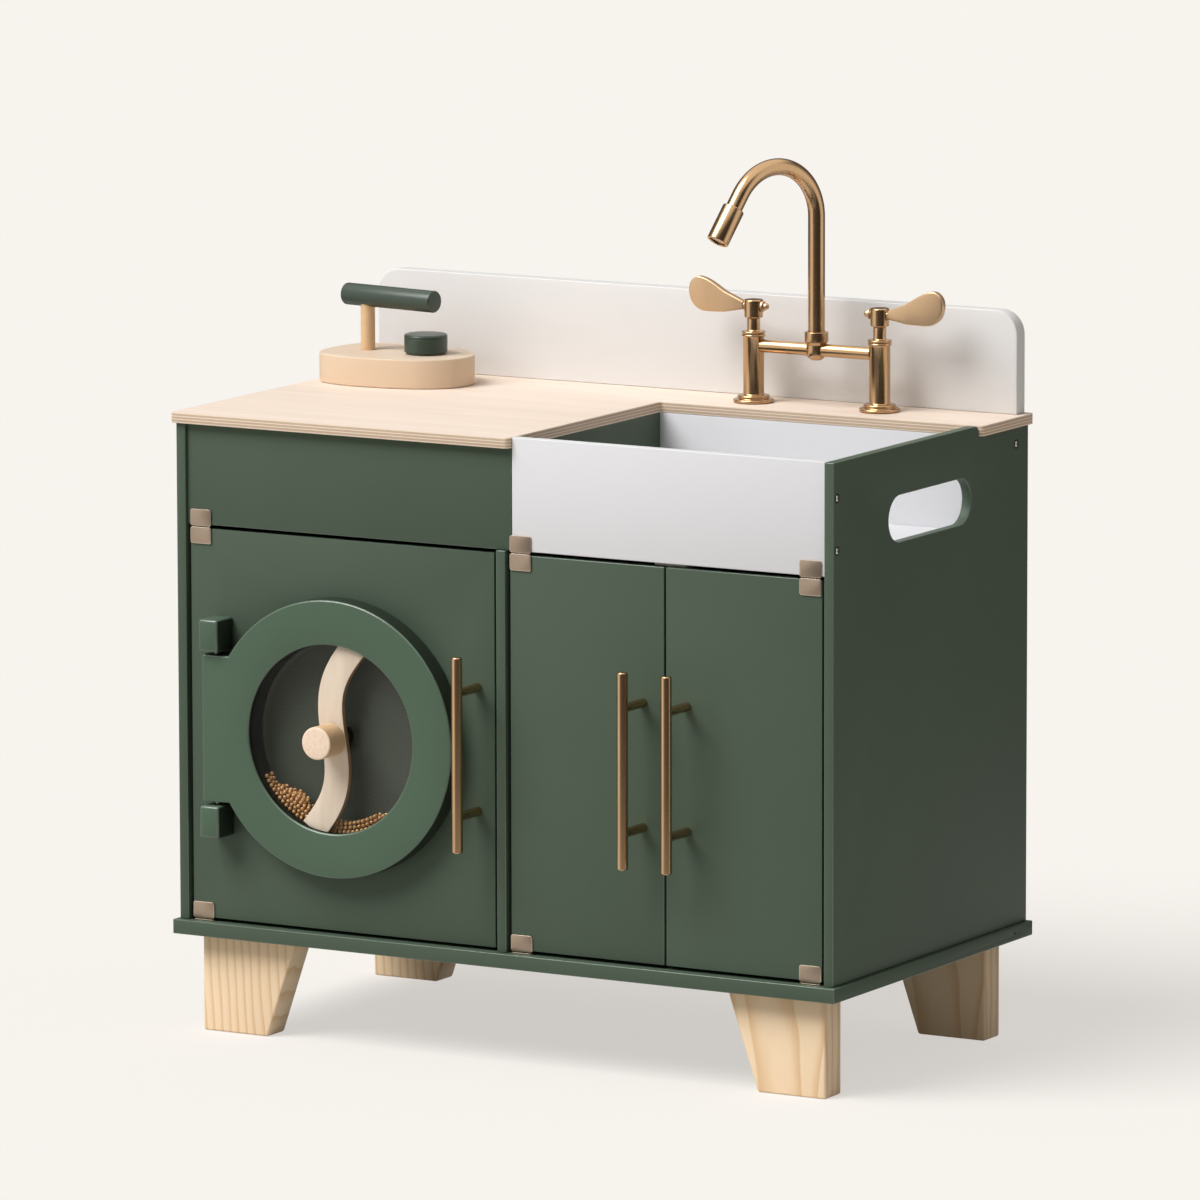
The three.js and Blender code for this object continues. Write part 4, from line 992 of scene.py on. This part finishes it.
# Tap posts: brass turned in one piece with a stepped flange, a grooved collar and a slim
# stem, held from under the worktop by a stud. The heads turn on the posts' spigots.
deck_z = worktop_high.z
tap_y = middle_of("left_tap_post").y
post_places = {side: Vector((middle_of(side + "_tap_post").x, tap_y, deck_z))
               for side in ("left", "right")}
flange_radius = 17.75 * mm
step_radius = 14 * mm
body_radius = 9.05 * mm
body_top = 56 * mm
collar_radius = 10.4 * mm
stem_radius = 5.65 * mm
stem_top = 73.2 * mm
spigot_radius = 4 * mm
spigot_top = 77.2 * mm
stud_below = 19 * mm
post_profile = (
    [(0, -stud_below), (spigot_radius - 0.5 * mm, -stud_below),
     (spigot_radius, 0.5 * mm - stud_below), (spigot_radius, 0.2 * mm),
     (flange_radius - 0.4 * mm, 0.2 * mm)]
    + arc(flange_radius - 1.5 * mm, 1.8 * mm, 1.5 * mm, -60, 90)
    + [(step_radius + 0.9 * mm, 3.3 * mm)]
    + arc(step_radius + 0.2 * mm, 4.0 * mm, 0.6 * mm, -90, -180, 3)
    + arc(step_radius - 1.4 * mm, 5.3 * mm, 1.4 * mm, -20, 90)
    + [(body_radius + 1.2 * mm, 6.7 * mm)]
    + arc(body_radius + 1.2 * mm, 7.9 * mm, 1.2 * mm, -90, -180, 3)
    + [(body_radius, body_top), (body_radius + 0.3 * mm, body_top + 0.6 * mm)]
    + arc(collar_radius - 1.1 * mm, 58.1 * mm, 1.1 * mm, -80, 60)
    + [(collar_radius - 0.9 * mm, 59.4 * mm)]
    + arc(collar_radius - 1.0 * mm, 60.9 * mm, 1.0 * mm, -60, 90)
    + [(stem_radius + 0.7 * mm, 62.0 * mm), (stem_radius, 62.8 * mm),
       (stem_radius, stem_top - 0.6 * mm), (stem_radius - 0.5 * mm, stem_top),
       (spigot_radius, stem_top), (spigot_radius, spigot_top), (0, spigot_top)])
for side, post_place in post_places.items():
    node = side + "_tap_post"
    settled(turned(node + "_finished", post_profile, post_place, steps=64), antique_brass,
            node)


# Bridge: a brass tube between the posts with a turned tee brazed at its middle, whose
# collar carries the spout.
bridge_z = 49.2 * mm
bridge_radius = 5.6 * mm
tee_radius = 8.75 * mm
tee_under = 40.5 * mm
tee_collar_radius = 10.2 * mm
tee_collar_top = 65 * mm
spout_radius = 7.25 * mm
spout_socket = spout_radius + 0.3 * mm
spout_socket_floor = 57 * mm
bridge_place = Vector((middle_of("tap_bridge").x, tap_y, deck_z))
tube_half = ((post_places["right"].x - post_places["left"].x) / 2
             - body_radius + 1.2 * mm)
tee = turned("tap_bridge_finished",
             [(0, tee_under), (4.6 * mm, tee_under)]
             + arc(2.9 * mm, 46.6 * mm, 5.85 * mm, -65, 0, 6)
             + [(tee_radius, 53.0 * mm), (tee_radius - 0.2 * mm, 53.6 * mm)]
             + [(tee_radius, 54.2 * mm)]
             + arc(tee_collar_radius - 1.2 * mm, 56.6 * mm, 1.2 * mm, -60, 0, 4)
             + arc(tee_collar_radius - 0.7 * mm, tee_collar_top - 0.7 * mm, 0.7 * mm,
                   0, 90, 3)
             + [(spout_socket, tee_collar_top), (spout_socket, spout_socket_floor),
                (0, spout_socket_floor)],
             bridge_place, steps=64)
tube = rod("bridge_tube", bridge_radius, -tube_half, tube_half,
           bridge_place + Vector((0, 0, bridge_z)), (1, 0, 0), steps=48)
combined(tee, tube, "UNION")
for post_place in post_places.values():
    bored(tee, body_radius + 0.2 * mm, 0, body_top, post_place, steps=48)
smoothed(35)
settled(tee, antique_brass, "tap_bridge")


# Spout: one brass tube bent over in an arch and left straight at its end, with a turned
# nozzle pressed over it. It stands swivelled a little to the left in the tee's collar.
spout_foot = 57.3 * mm
spout_straight = 164 * mm
first_bend = 46 * mm
second_bend = 48.5 * mm
second_angle = math.radians(56)
spout_run = 19 * mm
spout_at_rest = Matrix.Rotation(math.radians(-20), 3, "Z")
first_centre = Vector((0, -first_bend, spout_straight))
second_centre = first_centre + Vector((0, 0, first_bend - second_bend))
bend_end = Vector((0, -math.sin(second_angle), math.cos(second_angle))) * second_bend
spout_way = Vector((0, -math.cos(second_angle), -math.sin(second_angle)))
bpy.ops.object.select_all(action="DESELECT")
bpy.ops.mesh.primitive_circle_add(vertices=48, radius=spout_radius,
                                  location=(0, 0, spout_foot))
spout = bpy.context.object
spout.name = "spout_tube_finished"
bpy.ops.object.mode_set(mode="EDIT")
bpy.ops.mesh.select_mode(type="VERT")
bpy.ops.mesh.select_all(action="SELECT")
extrude((0, 0, spout_straight - spout_foot))
bpy.ops.mesh.spin(steps=40, angle=math.pi / 2, center=first_centre, axis=(-1, 0, 0))
bpy.ops.mesh.spin(steps=24, angle=second_angle, center=second_centre, axis=(-1, 0, 0))
extrude(spout_way * spout_run)
bpy.ops.mesh.select_all(action="SELECT")
bpy.ops.mesh.remove_doubles(threshold=0.005 * mm)
bpy.ops.mesh.fill_holes(sides=0)
closed_up()
bpy.ops.object.transform_apply(location=True, rotation=True, scale=True)
moved(spout, bridge_place, spout_at_rest)
smoothed(40)
settled(spout, antique_brass, "spout_tube")

spout_tip = bridge_place + spout_at_rest @ (second_centre + bend_end + spout_way * spout_run)
nozzle_radius = 9.6 * mm
nozzle_fit = spout_radius + 0.25 * mm
nozzle_bore = 7.2 * mm
nozzle_grip = 6 * mm
nozzle_end = 26.5 * mm
strainer_rim = nozzle_end - 2 * mm
strainer_face = nozzle_end - 1.4 * mm
nozzle = turned("spout_nozzle_finished",
                [(0, 0.2 * mm), (nozzle_fit, 0.2 * mm), (nozzle_fit, -nozzle_grip)]
                + arc(nozzle_radius - 0.9 * mm, 0.9 * mm - nozzle_grip, 0.9 * mm, -90, 0, 4)
                + arc(nozzle_radius - 0.7 * mm, nozzle_end - 0.7 * mm, 0.7 * mm, 0, 90, 4)
                + [(nozzle_bore + 0.7 * mm, nozzle_end), (nozzle_bore, nozzle_end - 0.6 * mm),
                   (nozzle_bore, strainer_rim), (nozzle_bore - mm, strainer_rim),
                   (nozzle_bore - mm, strainer_face), (0, strainer_face)],
                spout_tip, axis=spout_at_rest @ spout_way, steps=64)
settled(nozzle, antique_brass, "spout_nozzle")


# Tap levers: a round head turns on each post, and a flat cast paddle is pressed through it,
# with a small turned nub on the far side. The paddles have a paler satin brush.
head_radius = 8.15 * mm
head_low = 73.5 * mm
head_high = 89 * mm
head_bore = 4.3 * mm
lever_z = 83.4 * mm
tang_radius = 3.3 * mm
tang_end = 21 * mm
tang_fit = 3.5 * mm
tang_bore_half = 12 * mm
nub_centre = 12 * mm
lever_reach = 62 * mm
lever_low = 76 * mm
lever_high = 105.6 * mm
lever_thickness = 7 * mm
lever_edge = 1.1 * mm
lever_root = head_radius + 0.2 * mm
rim_shares = ((0.36, 0.63), (0.6, 0.89), (0.76, 1), (0.87, 1), (0.97, 0.84), (1, 0.58),
              (0.96, 0.3), (0.84, 0.08), (0.69, 0.01), (0.36, 0.02))


def smooth_through(points, steps, closed=False):
    """A denser line that passes smoothly through points."""
    count = len(points)
    line = []
    for index in range(count if closed else count - 1):
        near = [index + shift for shift in (-1, 0, 1, 2)]
        before, here, there, after = (
            points[at % count if closed else min(max(at, 0), count - 1)] for at in near)
        line += interpolate_bezier(here, here + (there - before) / 6,
                                   there - (after - here) / 6, there, steps + 1)[:-1]
    return line if closed else line + [points[-1]]


satin_brass = brushed_metal("satin cast brass", "#d6b793", "#ceae89", 0.4, brass_scratches)
for side, outwards in (("left", -1), ("right", 1)):
    post_place = post_places[side]
    lever_centre = post_place + Vector((0, 0, lever_z))
    head = turned(side + "_lever_head_finished",
                  [(head_bore, head_low), (head_radius - 0.5 * mm, head_low),
                   (head_radius, head_low + 0.5 * mm)]
                  + arc(head_radius - 1.4 * mm, head_high - 1.4 * mm, 1.4 * mm, 0, 90)
                  + [(0, head_high), (0, head_low + head_bore),
                     (head_bore, head_low + head_bore), (head_bore, head_low)],
                  post_place, steps=64)
    bored(head, tang_fit, -tang_bore_half, tang_bore_half, lever_centre, (1, 0, 0), steps=32)
    settled(eased(head, 0.25 * mm, segments=2), antique_brass, side + "_lever_head")

    corners = [Vector((lever_root, 0, lever_z + tang_radius))] + smooth_through([
        Vector((lever_root + out * (lever_reach - lever_root), 0,
                lever_low + up * (lever_high - lever_low))) for out, up in rim_shares], 8)
    corners.append(Vector((lever_root, 0, lever_z - tang_radius)))
    near_face = post_place - Vector((0, lever_thickness / 2, 0))
    paddle = plate(side + "_lever_paddle_finished",
                   [near_face + Vector((outwards * corner.x, 0, corner.z))
                    for corner in corners], (0, lever_thickness, 0))
    eased(paddle, lever_edge, segments=4, sharper_than=60)
    tang = turned("tang", [(0, -tang_end), (tang_radius, -tang_end), (tang_radius, 8.6 * mm),
                           (4.6 * mm, 8.6 * mm), (4.6 * mm, 10.0 * mm), (4.2 * mm, 10.4 * mm),
                           (2.2 * mm, 10.6 * mm)]
                  + arc(0, nub_centre, 3 * mm, -20, 90, 6),
                  lever_centre, axis=(-outwards, 0, 0), steps=40)
    combined(paddle, tang, "UNION")
    smoothed(35)
    settled(paddle, satin_brass, side + "_lever_paddle")


# Toy iron: a sole block sawn from beech with rounded arrises, a beech dowel glued into it,
# and a handle rod and dial turned in wood and lacquered dark green.
iron_low, iron_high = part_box("iron_base")
iron_size = iron_high - iron_low
iron_place = middle_of("iron_base")
iron_place.z = deck_z
sole_top = iron_high.z - deck_z
sole_shares = ((-0.5, 0), (-0.485, 0.24), (-0.4, 0.41), (-0.24, 0.49), (-0.04, 0.5),
               (0.17, 0.46), (0.34, 0.37), (0.46, 0.2), (0.5, 0))
rim_points = ([Vector((x * iron_size.x, -y * iron_size.y, 0)) for x, y in sole_shares]
              + [Vector((x * iron_size.x, y * iron_size.y, 0))
                 for x, y in sole_shares[-2:0:-1]])
under_sole = Vector((iron_place.x, iron_place.y, iron_low.z))
sole = plate("iron_base_finished",
             [under_sole + corner for corner in smooth_through(rim_points, 6, closed=True)],
             (0, 0, iron_size.z))
dowel_place = iron_place + Vector((-32.9 * mm, 0, 0))
dial_place = iron_place + Vector((25.9 * mm, 0, 0))
dowel_fit = 6.5 * mm
peg_fit = 3.3 * mm
bored(sole, dowel_fit, sole_top - 10 * mm, sole_top + mm, dowel_place, steps=32)
bored(sole, peg_fit, sole_top - 8 * mm, sole_top + mm, dial_place, steps=32)
sole_grain = (45 * mm, 3 * mm, 3 * mm)
sole_beech = sanded_wood("sanded beech", "#e0ccb7", "#d9c2a9", "#e0c7ab", "Z", sole_grain)
settled(eased(sole, 1.5 * mm, segments=4, sharper_than=60), sole_beech, "iron_base")

dowel_low, dowel_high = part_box("iron_dowel")
dowel_bottom = dowel_low.z - deck_z
dowel_top = dowel_high.z - deck_z
dowel = rod("iron_dowel_finished", 6.3 * mm, dowel_bottom, dowel_top, dowel_place,
            chamfer=pin_chamfer, steps=40)
dowel_grain = (1.2 * mm, 1.2 * mm, 30 * mm)
dowel_beech = sanded_wood("beech dowel", "#eccda6", "#dcb88c", "#e0bd92", "Z", dowel_grain)
settled(dowel, dowel_beech, "iron_dowel")

grip_low, grip_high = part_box("iron_handle")
grip_radius = (grip_high.z - grip_low.z) / 2
grip_half = 49.5 * mm
grip_round = 1.2 * mm
grip_turn = math.radians(-8.5)
grip = turned("iron_handle_finished",
              [(0, -grip_half)]
              + arc(grip_radius - grip_round, grip_round - grip_half, grip_round, -90, 0, 4)
              + arc(grip_radius - grip_round, grip_half - grip_round, grip_round, 0, 90, 4)
              + [(0, grip_half)],
              middle_of("iron_handle"), (math.cos(grip_turn), math.sin(grip_turn), 0), 64)
bored(grip, dowel_fit, dowel_top - 9.5 * mm, dowel_top + 0.2 * mm, dowel_place, steps=32)
smoothed(35)
dark_lacquer = sprayed_lacquer("dark green satin lacquer", "#36453a", "#324035", 0.34, 0.5)
settled(grip, dark_lacquer, "iron_handle")

peg_radius = 3 * mm
peg_length = 7.7 * mm
dial_radius = 18.9 * mm
dial_foot_radius = 17.4 * mm
dial_foot = 0.3 * mm
dial_rise = 17.5 * mm
dial_round = 1.8 * mm
dial_groove_z = 14.5 * mm
dial = turned("iron_dial_finished",
              [(0, -peg_length), (peg_radius, -peg_length), (peg_radius, dial_foot),
               (dial_foot_radius, dial_foot), (dial_foot_radius, 1.8 * mm),
               (dial_radius - 0.5 * mm, 1.8 * mm), (dial_radius, 2.3 * mm),
               (dial_radius, dial_groove_z - 0.3 * mm),
               (dial_radius - 0.3 * mm, dial_groove_z),
               (dial_radius, dial_groove_z + 0.3 * mm)]
              + arc(dial_radius - dial_round, dial_rise - dial_round, dial_round, 0, 90)
              + [(0, dial_rise)],
              dial_place + Vector((0, 0, sole_top)), steps=80)
settled(dial, dark_lacquer, "iron_dial")
